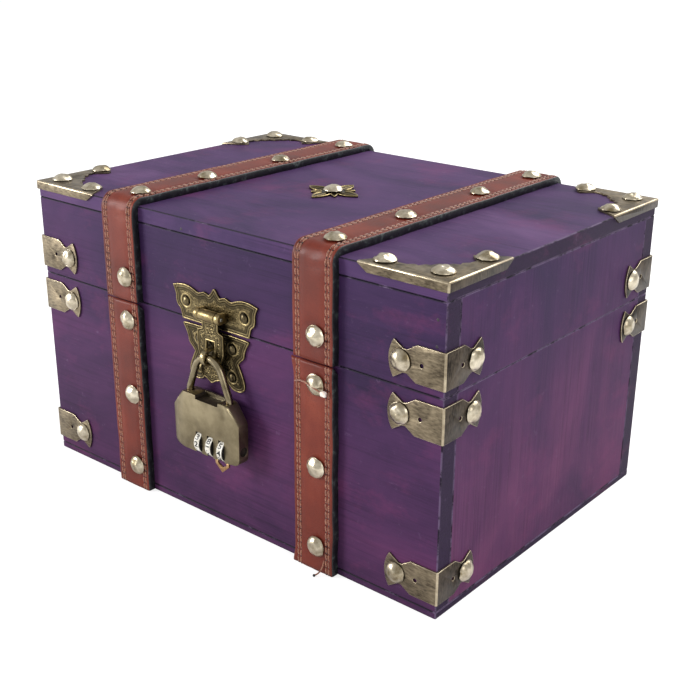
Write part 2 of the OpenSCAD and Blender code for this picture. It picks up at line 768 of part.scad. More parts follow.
// up is 1 for the lid's leaf and -1 for the body's
module leaf(s, up, knuckles) {
    bore_d = hinge_pin_d + 2 * pin_gap;
    color(brass_col) on_back_seam(s) difference() {
        union() {
            mirror([0, up < 0 ? 1 : 0, 0]) {
                translate([0, leaf_edge, 0]) cube([hinge_w, leaf_h - leaf_edge, leaf_t]);
                for (k = knuckles) translate([k, 0, 0]) rotate([90, 0, 90]) linear_extrude(knuckle_third)
                    polygon([
                        [leaf_edge + web_foot, 0], [leaf_edge + web_foot, leaf_t], rim(53),
                        [0, axis_off], rim(-60), [leaf_edge, 0]
                    ]);
            }
            for (k = knuckles) translate([k, 0, axis_off]) rotate([0, 90, 0])
                cylinder(r = hinge_r, h = knuckle_third);
        }
        translate([-1, 0, axis_off]) rotate([0, 90, 0]) cylinder(d = bore_d, h = hinge_w + 2);
        for (t = [-1, 1])
            translate([hinge_w / 2 + t * hinge_nail_x, up * hinge_nail_z, -1])
                cylinder(d = tack_hole_d, h = leaf_t + 2);
    }
}
module body_leaf(s) { leaf(s, -1, [0, 2 * (knuckle_third + run_gap)]); }
module lid_leaf(s) { leaf(s, 1, [knuckle_third + run_gap]); }

module hinge_pins() {
    color(brass_col) for (s = [-1, 1]) on_back_seam(s)
        translate([-hinge_pin_end, 0, axis_off]) rotate([0, 90, 0])
            cylinder(d = hinge_pin_d, h = hinge_w + 2 * hinge_pin_end);
}

// ---- Nodes ----

lid_top = box_h - top_t;

base_board();
long_board("front", base_t, body_h, body_dome_list, body_tack_list);  // body_front_board
long_board("back", base_t, body_h, body_dome_list, body_tack_list);  // body_back_board
end_board("left", base_t, body_h, body_dome_list);  // body_left_board
end_board("right", base_t, body_h, body_dome_list);  // body_right_board
body_strap("front", -1);  // body_front_strap_left
body_strap("front", 1);  // body_front_strap_right
body_strap("back", -1);  // body_back_strap_left
body_strap("back", 1);  // body_back_strap_right
bracket(-1, -1, body_h - bracket_seam);  // seam_bracket_front_left
bracket(1, -1, body_h - bracket_seam);  // seam_bracket_front_right
bracket(-1, 1, body_h - bracket_seam);  // seam_bracket_back_left
bracket(1, 1, body_h - bracket_seam);  // seam_bracket_back_right
bracket(-1, -1, bracket_foot_z);  // foot_bracket_left
bracket(1, -1, bracket_foot_z);  // foot_bracket_right
dome_nails(body_strap_list);  // body_strap_nails
dome_nails(body_bracket_list);  // body_bracket_nails
keeper_plate();
keeper_staple();
tacks(keeper_list);  // keeper_nails
body_leaf(-1);  // hinge_body_leaf_left
body_leaf(1);  // hinge_body_leaf_right
hinge_pins();
tacks(hinge_list(-1));  // hinge_body_nails
lid_top_board();
long_board("front", body_h, lid_top, lid_dome_list, lid_tack_list);  // lid_front_board
long_board("back", body_h, lid_top, lid_dome_list, lid_tack_list);  // lid_back_board
end_board("left", body_h, lid_top, lid_dome_list);  // lid_left_board
end_board("right", body_h, lid_top, lid_dome_list);  // lid_right_board
lid_strap(-1);  // lid_strap_left
lid_strap(1);  // lid_strap_right
corner_plate(-1, -1);  // corner_plate_front_left
corner_plate(1, -1);  // corner_plate_front_right
corner_plate(-1, 1);  // corner_plate_back_left
corner_plate(1, 1);  // corner_plate_back_right
bracket(-1, -1, body_h + bracket_seam);  // lid_bracket_front_left
bracket(1, -1, body_h + bracket_seam);  // lid_bracket_front_right
bracket(-1, 1, body_h + bracket_seam);  // lid_bracket_back_left
bracket(1, 1, body_h + bracket_seam);  // lid_bracket_back_right
dome_nails(lid_strap_list);  // lid_strap_nails
dome_nails(corner_plate_list);  // corner_plate_nails
dome_nails(lid_bracket_list);  // lid_bracket_nails
rosette();
dome_nails(rosette_list);  // rosette_nail
latch_plate();
tacks(latch_list);  // latch_nails
hasp_pin();
lid_leaf(-1);  // hinge_lid_leaf_left
lid_leaf(1);  // hinge_lid_leaf_right
tacks(hinge_list(1));  // hinge_lid_nails
hasp_tongue();
padlock_shackle();
padlock_case();
padlock_catch();
padlock_spindle();
index_loop();
dial(0);  // dial_left
dial(1);  // dial_middle
dial(2);  // dial_right
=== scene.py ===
import json
import math
import random

import bmesh
import bpy
import numpy as np
from mathutils import Matrix, Vector, geometry, noise

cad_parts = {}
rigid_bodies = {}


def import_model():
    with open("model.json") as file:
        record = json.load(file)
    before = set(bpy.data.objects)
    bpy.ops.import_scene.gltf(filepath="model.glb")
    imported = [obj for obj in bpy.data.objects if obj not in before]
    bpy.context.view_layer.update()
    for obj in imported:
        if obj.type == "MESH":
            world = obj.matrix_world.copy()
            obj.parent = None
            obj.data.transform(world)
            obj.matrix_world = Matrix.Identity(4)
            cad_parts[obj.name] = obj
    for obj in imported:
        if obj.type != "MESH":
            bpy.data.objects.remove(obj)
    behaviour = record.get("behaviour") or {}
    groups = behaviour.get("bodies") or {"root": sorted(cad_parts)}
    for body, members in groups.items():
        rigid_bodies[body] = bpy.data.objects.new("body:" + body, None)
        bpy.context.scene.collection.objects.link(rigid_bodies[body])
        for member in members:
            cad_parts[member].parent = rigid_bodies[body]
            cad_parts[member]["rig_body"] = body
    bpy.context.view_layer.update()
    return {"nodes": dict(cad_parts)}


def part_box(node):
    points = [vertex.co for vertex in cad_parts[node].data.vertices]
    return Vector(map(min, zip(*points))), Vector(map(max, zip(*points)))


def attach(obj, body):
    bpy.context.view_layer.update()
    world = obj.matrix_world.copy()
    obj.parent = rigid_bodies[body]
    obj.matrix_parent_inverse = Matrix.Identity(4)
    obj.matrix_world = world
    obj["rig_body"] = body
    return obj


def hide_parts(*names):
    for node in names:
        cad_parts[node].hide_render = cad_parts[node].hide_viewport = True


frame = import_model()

mm = 0.001
nodes = frame["nodes"]
bodyOf = {name: node["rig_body"] for name, node in nodes.items()}
print("stage: frame loaded,", len(nodes), "nodes")


def linked(name, data):
    obj = bpy.data.objects.new(name, data)
    bpy.context.scene.collection.objects.link(obj)
    return obj


# ---- camera ----

camera = {
    "azimuth": 39.757,       # degrees round the box from its front
    "elevation": 21.422,
    "roll": 0.413,
    "place": (309.625, -364.767, 243.324),   # mm
    "lens": 58.42, "sensor": 36,             # mm
}


def placeCamera():
    az, el, roll = (math.radians(camera[k]) for k in ("azimuth", "elevation", "roll"))
    data = bpy.data.cameras.new("photoCamera")
    data.sensor_width = camera["sensor"]
    data.lens = camera["lens"]
    data.clip_start = 0.01
    obj = linked("photoCamera", data)
    obj.matrix_world = (Matrix.Translation(Vector(camera["place"]) * mm) @ Matrix.Rotation(az, 4, "Z")
                        @ Matrix.Rotation(math.pi / 2 - el, 4, "X") @ Matrix.Rotation(roll, 4, "Z"))
    bpy.context.scene.camera = obj


placeCamera()


# ---- materials ----

def linear(hexColour):
    parts = [int(hexColour[i:i + 2], 16) / 255 for i in (1, 3, 5)]
    return [p / 12.92 if p <= 0.04045 else ((p + 0.055) / 1.055) ** 2.4 for p in parts] + [1]


def addNode(tree, kind, inputs=None, stops=None, **settings):
    added = tree.nodes.new(kind)
    for key, value in settings.items():
        setattr(added, key, value)
    for key, value in (inputs or {}).items():
        socket = added.inputs[key]
        if isinstance(value, bpy.types.NodeSocket):
            tree.links.new(value, socket)
        else:
            socket.default_value = value
    if stops:
        elements = added.color_ramp.elements
        while len(elements) < len(stops):
            elements.new(1)
        for element, (position, colour) in zip(elements, stops):
            element.position = position
            element.color = linear(colour) if isinstance(colour, str) else (colour, colour, colour, 1)
    return added


def socketOf(tree, kind, inputs=None, **settings):
    return addNode(tree, kind, inputs, **settings).outputs[0]


mixA, mixB, mixResult = 6, 7, 2     # colour sockets of the Mix node


def clearedTree(owner):
    owner.use_nodes = True
    owner.node_tree.nodes.clear()
    return owner.node_tree


def startMaterial(name, **fixed):
    material = bpy.data.materials.new(name)
    tree = clearedTree(material)
    shader = addNode(tree, "ShaderNodeBsdfPrincipled", {k.replace("_", " "): v for k, v in fixed.items()})
    addNode(tree, "ShaderNodeOutputMaterial", {"Surface": shader.outputs["BSDF"]})
    return material, tree, shader


def stretchedNoise(tree, lengths, detail=4, roughness=0.55, seat=(0, 0, 0), distortion=0):
    # lengths are the feature sizes in mm along X, Y and Z
    place = addNode(tree, "ShaderNodeTexCoord")
    scaled = socketOf(tree, "ShaderNodeMapping", {
        "Vector": place.outputs["Object"], "Location": seat,
        "Scale": [1 / (length * mm) for length in lengths]})
    return addNode(tree, "ShaderNodeTexNoise", {
        "Vector": scaled, "Scale": 1.0, "Detail": detail,
        "Roughness": roughness, "Distortion": distortion}).outputs["Fac"]


def calc(tree, operation, *values):
    return socketOf(tree, "ShaderNodeMath", dict(enumerate(values)), operation=operation)


def toned(tree, factor, *stops):
    return socketOf(tree, "ShaderNodeValToRGB", {"Fac": factor}, stops=stops)


def rescaled(tree, value, before, after):
    return socketOf(tree, "ShaderNodeMapRange", {
        "Value": value, "From Min": before[0], "From Max": before[1],
        "To Min": after[0], "To Max": after[1]})


def split(tree, vector):
    return addNode(tree, "ShaderNodeSeparateXYZ", {"Vector": vector}).outputs


def blended(tree, factor, first, second, mode="MIX"):
    mixed = addNode(tree, "ShaderNodeMix", {0: factor, mixA: first, mixB: second},
                    data_type="RGBA", blend_type=mode)
    return mixed.outputs[mixResult]


def bumped(tree, shader, height, depth):
    # depth is the real height of the pattern in mm
    bump = socketOf(tree, "ShaderNodeBump", {"Height": height, "Strength": 1.0, "Distance": depth * mm})
    tree.links.new(bump, shader.inputs["Normal"])


def plainMaterial(name, size, detail, stops, depth=0, **fixed):
    # one even pattern of one size in mm sets the tone and the bump
    material, tree, shader = startMaterial(name, **fixed)
    tone = stretchedNoise(tree, [size] * 3, detail=detail)
    tree.links.new(toned(tree, tone, *stops), shader.inputs["Base Color"])
    if depth:
        bumped(tree, shader, tone, depth)
    return material


stain = {
    # dark, middle and light tone of the stain on each way that a board faces: the stain's own colour, with
    # painted light in that the top is lighter than the front
    "front": ("#381d3f", "#4b274c", "#602f56"),
    "top": ("#46294d", "#62385f", "#7c4b70"),
    "end": ("#3d1e45", "#552951", "#6a365b"),
    "high": "#cbe9f9", "low": "#ffffff",      # painted light: darker and bluer at the lid, full at the foot as if lit from the floor
    # deep is painted shade on the broken edges; worn is the tone where they are rubbed
    "warm": "#73305c", "endGrain": "#2a1736", "worn": "#766283", "deep": "#130e1b", "scuff": "#735c7c",
    "lidTop": 0.12,                           # m, where the painted shade at the lid is full
    "corner": (0.1075, 0.1092),               # m from the middle, where the box's corners begin to be worn
    # mm: fine grain across and along it, soaked blotches, where the grain shows, worn patches, scratches
    "grain": (0.9, 60), "blotch": (48, 91.2), "patch": 30, "warmPatch": (36, 36, 24), "rub": 11,
    "scratch": (1.1, 9.9), "scuffPatch": 5,
    "bump": 0.07,
    "gloss": (0.5, 0.66),                     # roughness where little and where much soaked in
    "endOn": 0.8,                             # least part of a normal along the grain that is end grain
}


def alongGrain(sizes, grain):
    across, along = sizes
    return [along if axis == grain else across for axis in "xyz"]


# Thin purple stain brushed on sanded wood: blotches where it soaked in, fine dark grain, a satin top coat
def stainedWood(name, grain, facing, worn=False):
    material, tree, shader = startMaterial(name, Specular_IOR_Level=0.18)
    place = addNode(tree, "ShaderNodeTexCoord").outputs
    soak = stretchedNoise(tree, alongGrain(stain["blotch"], grain), detail=5, roughness=0.6, distortion=0.7)
    base = toned(tree, soak, *zip((0.32, 0.5, 0.68), stain[facing]))
    fine = stretchedNoise(tree, alongGrain(stain["grain"], grain), detail=6, roughness=0.7, distortion=0.25)
    patches = stretchedNoise(tree, [stain["patch"]] * 3, detail=3, seat=(9, 3, 4))
    streaks = toned(tree, fine, (0.3, "#948ea4"), (0.5, "#e8e5ee"), (0.72, "#ffffff"))
    strength = rescaled(tree, patches, (0.35, 0.65), (0.15, 0.75))
    colour = blended(tree, strength, base, streaks, "MULTIPLY")
    where = split(tree, place["Object"])
    # painted light: the colour is multiplied by a tone that darkens and cools it towards the lid and leaves
    # it full at the foot, as if lit from the floor
    level = rescaled(tree, where["Z"], (0, stain["lidTop"]), (0, 1))
    paintedFloorLight = blended(tree, level, linear(stain["low"]), linear(stain["high"]))
    colour = blended(tree, 1.0, colour, paintedFloorLight, "MULTIPLY")
    across = calc(tree, "ABSOLUTE", split(tree, place["Normal"])["xyz".index(grain)])
    endOn = calc(tree, "GREATER_THAN", across, stain["endOn"])
    pores = blended(tree, 0.8, linear(stain["endGrain"]), streaks, "MULTIPLY")
    colour = blended(tree, endOn, colour, pores)
    warmth = stretchedNoise(tree, stain["warmPatch"], detail=6, roughness=0.7, seat=(2, 8, 5))
    warm = toned(tree, warmth, (0.54, 0.0), (0.7, 0.32))
    colour = blended(tree, warm, colour, linear(stain["warm"]))
    for seat, lengths, full, share in (
            ((3, 1, 2), alongGrain(stain["scratch"], grain), (0.62, 0.74), 0.5),
            ((6, 2, 9), [stain["scuffPatch"]] * 3, (0.6, 0.7), 0.35)):
        flecks = stretchedNoise(tree, lengths, detail=8, roughness=0.78, seat=seat)
        scuff = toned(tree, flecks, (full[0], 0.0), (full[1], share))
        colour = blended(tree, scuff, colour, linear(stain["scuff"]))
    if worn:
        rub = stretchedNoise(tree, [stain["rub"]] * 3, detail=6, roughness=0.75, seat=(5, 2, 7))
        corner = rescaled(tree, calc(tree, "ABSOLUTE", where["X"]), stain["corner"], (0, 0.13))
        rubbed = toned(tree, calc(tree, "ADD", rub, corner), (0.55, 0.0), (0.67, 0.6))
        # painted shade: the broken edges are darkened nearly to black, like the shade in the seams between
        # boards; rubbed patches show the worn tone
        paintedEdgeShade = blended(tree, 0.85, colour, linear(stain["deep"]))
        colour = blended(tree, rubbed, paintedEdgeShade, linear(stain["worn"]))
    tree.links.new(colour, shader.inputs["Base Color"])
    tree.links.new(rescaled(tree, soak, (0, 1), stain["gloss"]), shader.inputs["Roughness"])
    bumped(tree, shader, fine, stain["bump"])
    return material


leather = {
    "tones": ((0.3, "#582015"), (0.52, "#6d2819"), (0.75, "#813825")),
    "patch": (18, 18, 30), "pore": 0.5, "bump": 0.05,     # mm
    "gloss": (0.4, 0.55),                                 # least and greatest roughness
}


# Split hide with a smooth plastic-like coat: fine pores, warm brown-red, darker where it was creased
def coatedLeather():
    material, tree, shader = startMaterial("coatedSplitLeather", Specular_IOR_Level=0.3)
    tone = stretchedNoise(tree, leather["patch"])
    base = toned(tree, tone, *leather["tones"])
    pores = stretchedNoise(tree, [leather["pore"]] * 3, detail=3)
    speck = toned(tree, pores, (0.3, "#b8a8a4"), (0.5, "#ffffff"))
    tree.links.new(blended(tree, 0.6, base, speck, "MULTIPLY"), shader.inputs["Base Color"])
    tree.links.new(rescaled(tree, tone, (0, 1), leather["gloss"]), shader.inputs["Roughness"])
    bumped(tree, shader, pores, leather["bump"])
    return material


patina = {"patch": 9, "dark": 0.36, "light": 0.62, "hollow": "#1d1912"}     # mm, limits of the tones


# Brass, copper and steel share one build: dark patina, lighter where it is rubbed, lines from the brush
def patinaBrass(name, dark, light, lines, roughness, depth, relief=False):
    material, tree, shader = startMaterial(name, Metallic=1.0, Roughness=roughness)
    brushing = stretchedNoise(tree, lines, roughness=0.6)
    patches = stretchedNoise(tree, [patina["patch"]] * 3, seat=(4, 4, 4))
    mean = calc(tree, "MULTIPLY", calc(tree, "ADD", brushing, patches), 0.5)
    colour = toned(tree, mean, (patina["dark"], dark), (patina["light"], light))
    if relief:
        raised = addNode(tree, "ShaderNodeAttribute", attribute_name="raised", attribute_type="GEOMETRY")
        rubbed = toned(tree, raised.outputs["Fac"], (0.3, 0.12), (0.8, 1.0))
        colour = blended(tree, rubbed, linear(patina["hollow"]), colour)
    tree.links.new(colour, shader.inputs["Base Color"])
    bumped(tree, shader, brushing, depth)
    return material


# Thin paint, rust or dried glue on a surface, a little grimy; the same build paints shade into the padlock's
# recesses
def paintLike(name, colour, shade):
    return plainMaterial(name, 1.5, 4, ((0.35, shade), (0.6, colour)), Roughness=0.45, IOR=1.5)


materials = {
    "leather": coatedLeather(),
    # cut edge sealed with black paint, uneven from the brush
    "leatherEdge": plainMaterial(
        "paintedLeatherEdge", 2.5, 5, ((0.35, "#0b0c0f"), (0.56, "#1c1e21"), (0.7, "#4c5652")),
        depth=0.2, Roughness=0.5, IOR=1.5),
    # twisted polyester sewing thread, tan
    "thread": plainMaterial(
        "twistedSewingThread", 0.5, 2, ((0.35, "#5a2c1e"), (0.5, "#85503a"), (0.7, "#ac7757")),
        depth=0.08, Roughness=0.6, Sheen_Weight=0.3),
    "dialFace": paintLike("whiteDialPaint", "#ece8de", "#b8b2a2"),
    "dialInk": paintLike("blackDialPaint", "#101013", "#0a0a0c"),
    "recess": paintLike("tarnishedRecess", "#2b2118", "#17110d"),
    "brad": paintLike("rustedBradHead", "#2a2028", "#110c11"),
    "glue": paintLike("driedGlue", "#f8f3ee", "#d8bfae"),
}
# Rolled, cast or drawn metal: name, dark and light tone, pattern size, roughness, depth of the pattern in mm
for key, *metal in (
        ("sheetBrass", "brushedPatinatedSheetBrass", "#4b4237", "#988a72", (2.6, 2.6, 0.8), 0.42, 0.04),
        # darker copy of the sheet brass for the leaves on the box's ends: painted shade
        ("sheetBrassEnd", "darkPatinatedSheetBrass", "#24201d", "#61574c", (0.9, 0.9, 2.6), 0.42, 0.04),
        # lighter brass on folds and broken edges: rubbed wear with a painted highlight
        ("sheetEdge", "rubbedSheetBrassEdge", "#8c7e68", "#d6c8ac", (4, 4, 4), 0.33, 0.02),
        ("nail", "pressedNailBrass", "#85775b", "#e6dbc4", (3.2, 3.2, 3.2), 0.28, 0.05),
        ("cast", "castPatinatedBrass", "#6b5d40", "#b09d70", (2, 2, 2), 0.36, 0.04, True),
        ("smallNail", "darkenedNailBrass", "#2e281e", "#857757", (1.2, 1.2, 1.2), 0.34, 0.03),
        ("smoothCast", "polishedCastBrass", "#6d6148", "#a89a76", (3, 3, 3), 0.32, 0.03),
        ("padlock", "tumbledPadlockBrass", "#71664f", "#95896e", (7, 7, 7), 0.4, 0.02),
        ("shackle", "polishedShackleBrass", "#655b44", "#a2957a", (5, 5, 5), 0.26, 0.02),
        ("copper", "copperWire", "#8a6544", "#d2ac7e", (2, 2, 2), 0.3, 0.02),
        ("steel", "plainSteel", "#77756e", "#9b998f", (4, 4, 4), 0.35, 0.02)):
    materials[key] = patinaBrass(*metal)
for facing, grain in (("front", "x"), ("top", "x"), ("end", "z")):
    for worn in (False, True):
        title = facing + "StainedWood" + ("WornEdge" if worn else "")
        materials[title] = stainedWood(title, grain, facing, worn)
print("stage: materials made,", len(materials))


# ---- mesh helpers ----

meshing = {
    "merge": 0.002, "flat": 2,     # mm and degrees within which the frame's corners and faces are one
    "level": 0.03,                 # mm within which a corner or a face lies on a plane
    "square": 0.99,                # least part of a normal along an axis for a face that looks that way
    "gridRow": 0.87, "rimGap": 0.6,    # of a relief's grid step: between rows, and free of the rims
}


def makeObject(name, bm, slots, smooth=True):
    mesh = bpy.data.meshes.new(name)
    bm.to_mesh(mesh)
    bm.free()
    for slot in slots:
        mesh.materials.append(materials[slot])
    for polygon in mesh.polygons:
        polygon.use_smooth = smooth
    return linked(name, mesh)


def hand(obj, body, slot, *replaced):
    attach(obj, body)
    if replaced:
        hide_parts(*replaced)


def flattenModifiers(obj):
    graph = bpy.context.evaluated_depsgraph_get()
    mesh = bpy.data.meshes.new_from_object(obj.evaluated_get(graph), depsgraph=graph)
    obj.modifiers.clear()
    old = obj.data
    obj.data = mesh
    bpy.data.meshes.remove(old)


def mergedCopy(nodeName):
    bm = bmesh.new()
    bm.from_mesh(nodes[nodeName].data)
    bmesh.ops.remove_doubles(bm, verts=bm.verts, dist=meshing["merge"] * mm)
    bmesh.ops.dissolve_limit(bm, angle_limit=math.radians(meshing["flat"]), verts=bm.verts, edges=bm.edges)
    return bm


def breakEdges(obj, width, segments=2, angle=32):
    # broken edges take the second slot where there is one
    bevel = obj.modifiers.new("brokenEdge", "BEVEL")
    bevel.width = width * mm
    bevel.segments = segments
    bevel.limit_method = "ANGLE"
    bevel.angle_limit = math.radians(angle)
    bevel.harden_normals = True
    bevel.material = 1 if len(obj.data.materials) > 1 else -1
    flattenModifiers(obj)


def softened(nodeName, slots, width, **bevel):
    # the node's own shape with its edges broken
    obj = makeObject(nodeName + "_dressed", mergedCopy(nodeName), slots)
    breakEdges(obj, width, **bevel)
    return obj


def islands(nodeName):
    # each separate solid of a node, as its own array of corners
    bm = mergedCopy(nodeName)
    seen, found = set(), []
    for start in bm.verts:
        if start in seen:
            continue
        group, queue = [], [start]
        seen.add(start)
        while queue:
            here = queue.pop()
            group.append(tuple(here.co))
            for edge in here.link_edges:
                other = edge.other_vert(here)
                if other not in seen:
                    seen.add(other)
                    queue.append(other)
        found.append(np.array(group))
    bm.free()
    return found


def bridged(bm, rings):
    # joins each ring of corners to the next
    sides = []
    for low, high in zip(rings, rings[1:]):
        for i in range(len(low)):
            j = (i + 1) % len(low)
            sides.append(bm.faces.new((low[i], low[j], high[j], high[i])))
    return sides


def closedTube(bm, rings):
    bridged(bm, rings)
    bm.faces.new(rings[0][::-1])
    bm.faces.new(rings[-1])


def circle(bm, centre, side, other, radius, sides):
    # radius and centre in mm
    turns = [math.tau * i / sides for i in range(sides)]
    return [bm.verts.new((centre + (side * math.cos(a) + other * math.sin(a)) * radius) * mm) for a in turns]


def lathe(bm, profile, centre, axis, sides=32):
    # profile is (distance along the axis, radius) in mm, from end to end
    axis = Vector(axis).normalized()
    side = axis.orthogonal().normalized()
    other = axis.cross(side)
    closedTube(bm, [circle(bm, Vector(centre) + axis * along, side, other, radius, sides)
                    for along, radius in profile])


def roundedRod(bm, start, end, radius, lip, axis, centre, sides=32):
    eased = lip * 0.3
    profile = [(start, radius - lip), (start + eased, radius - eased), (start + lip, radius),
               (end - lip, radius), (end - eased, radius - eased), (end, radius - lip)]
    lathe(bm, profile, centre, axis, sides)


def mmBox(nodeName):
    low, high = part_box(nodeName)
    return low / mm, high / mm


# ---- boards ----

board = {"edge": 0.45}     # mm


def makeBoards():
    for name in [n for n in nodes if n.endswith("_board")]:
        low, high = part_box(name)
        bm = bmesh.new()
        bmesh.ops.create_cube(bm, size=1)
        for vert in bm.verts:
            vert.co = Vector([low[i] if vert.co[i] < 0 else high[i] for i in range(3)])
        facing = "end" if "left" in name or "right" in name else "top" if "top" in name else "front"
        obj = makeObject(name + "_wood", bm, [facing + "StainedWood", facing + "StainedWoodWornEdge"])
        breakEdges(obj, board["edge"])
        hand(obj, bodyOf[name], "stained_wood", name)


brads = {    # mm
    "width": 1.3, "proud": 0.04, "deep": 0.5, "lip": 0.15,
    "places": ((106.3, 115.8), (106.3, 106.2), (-18.2, 124.2)),     # X and Z
}


def makeBrads():
    front = mmBox("lid_front_board")[0].y
    bm = bmesh.new()
    for x, z in brads["places"]:
        roundedRod(bm, -brads["deep"], brads["proud"], brads["width"] / 2, brads["lip"],
                   (0, -1, 0), (x, front, z), sides=12)
    hand(makeObject("brad_heads", bm, ["brad"]), "lid", "stained_wood")


makeBoards()
makeBrads()
print("stage: boards and brads made")


# ---- leather straps ----

strap = {    # mm
    "step": 1.5,                     # along the strap
    "edgeRound": 0.6,                # radius of the face's long edges
    "crown": 0.1,                    # how much fuller the middle is
    "row": (1.9, 3.25),              # stitch rows, in from each edge
    "groove": 0.3,                   # depth pressed by the stitching
    "grooveHalf": 0.45,
    "edgeCorners": (0, 0.2, 0.6),    # corners across, in from each edge
    "rowCorners": 0.55,              # and to each side of a row
    "innerCorner": 6.5, "middleCorner": 0.8,
    "wobble": 0.5,                   # how far the cut edge strays
    "wobblePitch": 0.12,             # noise per step
    "press": 0.45,                   # hollow round a nail
    "pressRing": 4.9, "pressHalf": 1.4,
    "pressReach": 10, "pressDepth": 12,    # nails farther off than this press nothing
    "bendRadius": 6, "bendSteps": 10,
    "cut": 0.22, "cutPitch": 0.35,   # how far from square the ends are cut
    # a worn corner splays: strap, end (0 is the upper one), side, reach
    "splayed": (("body_front_strap_right", 0, 0, 1.0), ("body_front_strap_right", 1, 0, 1.1)),
    "splayLength": 4.5,
}
strapThick = mmBox("body_front_strap_left")[1].y - mmBox("body_front_strap_left")[0].y


def strapPath(name):
    # middle line on the outer face: points, outward directions, both in the YZ plane
    low, high = mmBox(name)

    def straight(start, end, out, steps):
        return [(start.lerp(end, i / steps), out) for i in range(steps)]

    if name.startswith("body"):
        front = "front" in name
        y = low.y if front else high.y
        out = Vector((0, -1 if front else 1, 0))
        ends = Vector((0, y, high.z)), Vector((0, y, low.z))
        return straight(*ends, out, int((high.z - low.z) / strap["step"])) + [(ends[1], out)]
    r, turns = strap["bendRadius"], strap["bendSteps"]
    rise = int((high.z - r - low.z) / strap["step"])
    path = straight(Vector((0, low.y, low.z)), Vector((0, low.y, high.z - r)), Vector((0, -1, 0)), rise)
    for a in [math.pi / 2 * i / turns for i in range(turns + 1)]:
        out = Vector((0, -math.cos(a), math.sin(a)))
        path.append((Vector((0, low.y + r, high.z - r)) + out * r, out))
    bend = path[::-1]
    path += straight(Vector((0, low.y + r, high.z)), Vector((0, high.y - r, high.z)), Vector((0, 0, 1)),
                     int((high.y - low.y - 2 * r) / strap["step"]))[1:]
    return path + [(Vector((0, low.y + high.y - p.y, p.z)), Vector((0, -o.y, o.z))) for p, o in bend]


def innerPoint(point, out, low, high, thick):
    # the strap lies on the square edge of the wood, so its inner side is not rounded
    inner = point - out * thick
    inner.y = min(max(inner.y, low.y + thick), high.y - thick) if abs(out.z) > 0.01 else inner.y
    inner.z = min(inner.z, high.z - thick)
    return inner


def strapDepth(across, half):
    inward = half - abs(across)
    drop = 0
    if inward < strap["edgeRound"]:
        r = strap["edgeRound"]
        drop = r - math.sqrt(max(r * r - (r - inward) ** 2, 0))
    for row in strap["row"]:
        drop += strap["groove"] * math.exp(-((inward - row) / strap["grooveHalf"]) ** 2)
    return drop + strap["crown"] * (across / half) ** 2


def acrossPlaces(half):
    places = [half - inward for inward in strap["edgeCorners"]]
    for row in strap["row"]:
        places += [half - row + off for off in (strap["rowCorners"], 0, -strap["rowCorners"])]
    places = sorted(set(round(p, 3) for p in places), reverse=True)
    places += [half - strap["innerCorner"], strap["middleCorner"]]
    return [-p for p in places] + places[::-1]


def nailTopsNear(name):
    low, high = mmBox(name)
    found = []
    for nails in ("body_strap_nails", "lid_strap_nails"):
        for corners in islands(nails):
            centre = Vector((corners.min(0) + corners.max(0)) / 2) / mm
            if low.x < centre.x < high.x:
                found.append(centre)
    return found


def strapSag(here, out, u, half, nails):
    # how far a corner of the face lies under the strap's middle line
    sag = strapDepth(u, half)
    for nail in nails:
        gap = here - nail
        above = gap.dot(out)
        gap = (gap - out * above).length
        if gap < strap["pressReach"] and abs(above) < strap["pressDepth"]:
            sag += strap["press"] * math.exp(-((gap - strap["pressRing"]) / strap["pressHalf"]) ** 2)
    return sag


def makeStrap(name):
    low, high = mmBox(name)
    half, middle = (high.x - low.x) / 2, (high.x + low.x) / 2
    path = strapPath(name)
    across = acrossPlaces(half)
    nails = nailTopsNear(name)
    seat = random.Random(name).uniform(0, 50)
    bm = bmesh.new()
    rings = []
    for index, (point, out) in enumerate(path):
        sway = [strap["wobble"] * noise.noise(Vector((index * strap["wobblePitch"], seat + side * 9, 0)))
                for side in (0, 1)]
        for which, end, side, reach in strap["splayed"]:
            if which == name:
                gone = (index if end == 0 else len(path) - 1 - index) * strap["step"]
                sway[side] += (-1 if side == 0 else 1) * reach * math.exp(-(gone / strap["splayLength"]) ** 2)
        outer = []
        for u in across:
            edge = sway[0 if u < 0 else 1] * (abs(u) / half) ** 3
            here = Vector((middle + u + edge, point.y, point.z))
            outer.append(here - out * strapSag(here, out, u, half, nails))
        inner = innerPoint(point, out, low, high, strapThick)
        if name.startswith("body"):
            inner.y = high.y if "front" in name else low.y
        under = [Vector((outer[k].x, inner.y, inner.z)) for k in (0, -1)]
        rings.append([bm.verts.new(p * mm) for p in [under[0]] + outer + [under[1]]])
    for ring, sign in ((rings[0], 1), (rings[-1], -1)):     # the knife's cut is not quite square
        for vert in ring:
            cut = strap["cut"] * noise.noise(Vector((vert.co.x / mm * strap["cutPitch"], seat, sign)))
            vert.co.z = max(vert.co.z + cut * mm, low.z * mm)
    sides = len(rings[0])
    for k, face in enumerate(bridged(bm, rings)):           # all but the outer face is painted edge
        face.material_index = 0 if 1 < k % sides < sides - 3 else 1
    for ring in (rings[0], rings[-1]):
        bm.faces.new(ring)
    bmesh.ops.recalc_face_normals(bm, faces=bm.faces)
    obj = makeObject(name + "_leather", bm, ["leather", "leatherEdge"])
    hand(obj, bodyOf[name], "strap_leather", name)
    return path, half, middle


strapNames = [n for n in nodes if "_strap_" in n and not n.endswith("nails")]
strapPaths = {name: makeStrap(name) for name in strapNames}
print("stage: straps made")


# ---- things that repeat ----

def newTree(name, inputs):
    tree = bpy.data.node_groups.new(name, "GeometryNodeTree")
    for label, way, kind in [("Geometry", "INPUT", "Geometry"), ("Geometry", "OUTPUT", "Geometry")] + [
            (label, "INPUT", kind) for label, kind in inputs]:
        tree.interface.new_socket(name=label, in_out=way, socket_type="NodeSocket" + kind)
    entry = tree.nodes.new("NodeGroupInput")
    leave = tree.nodes.new("NodeGroupOutput")
    return tree, entry.outputs, leave.inputs["Geometry"]


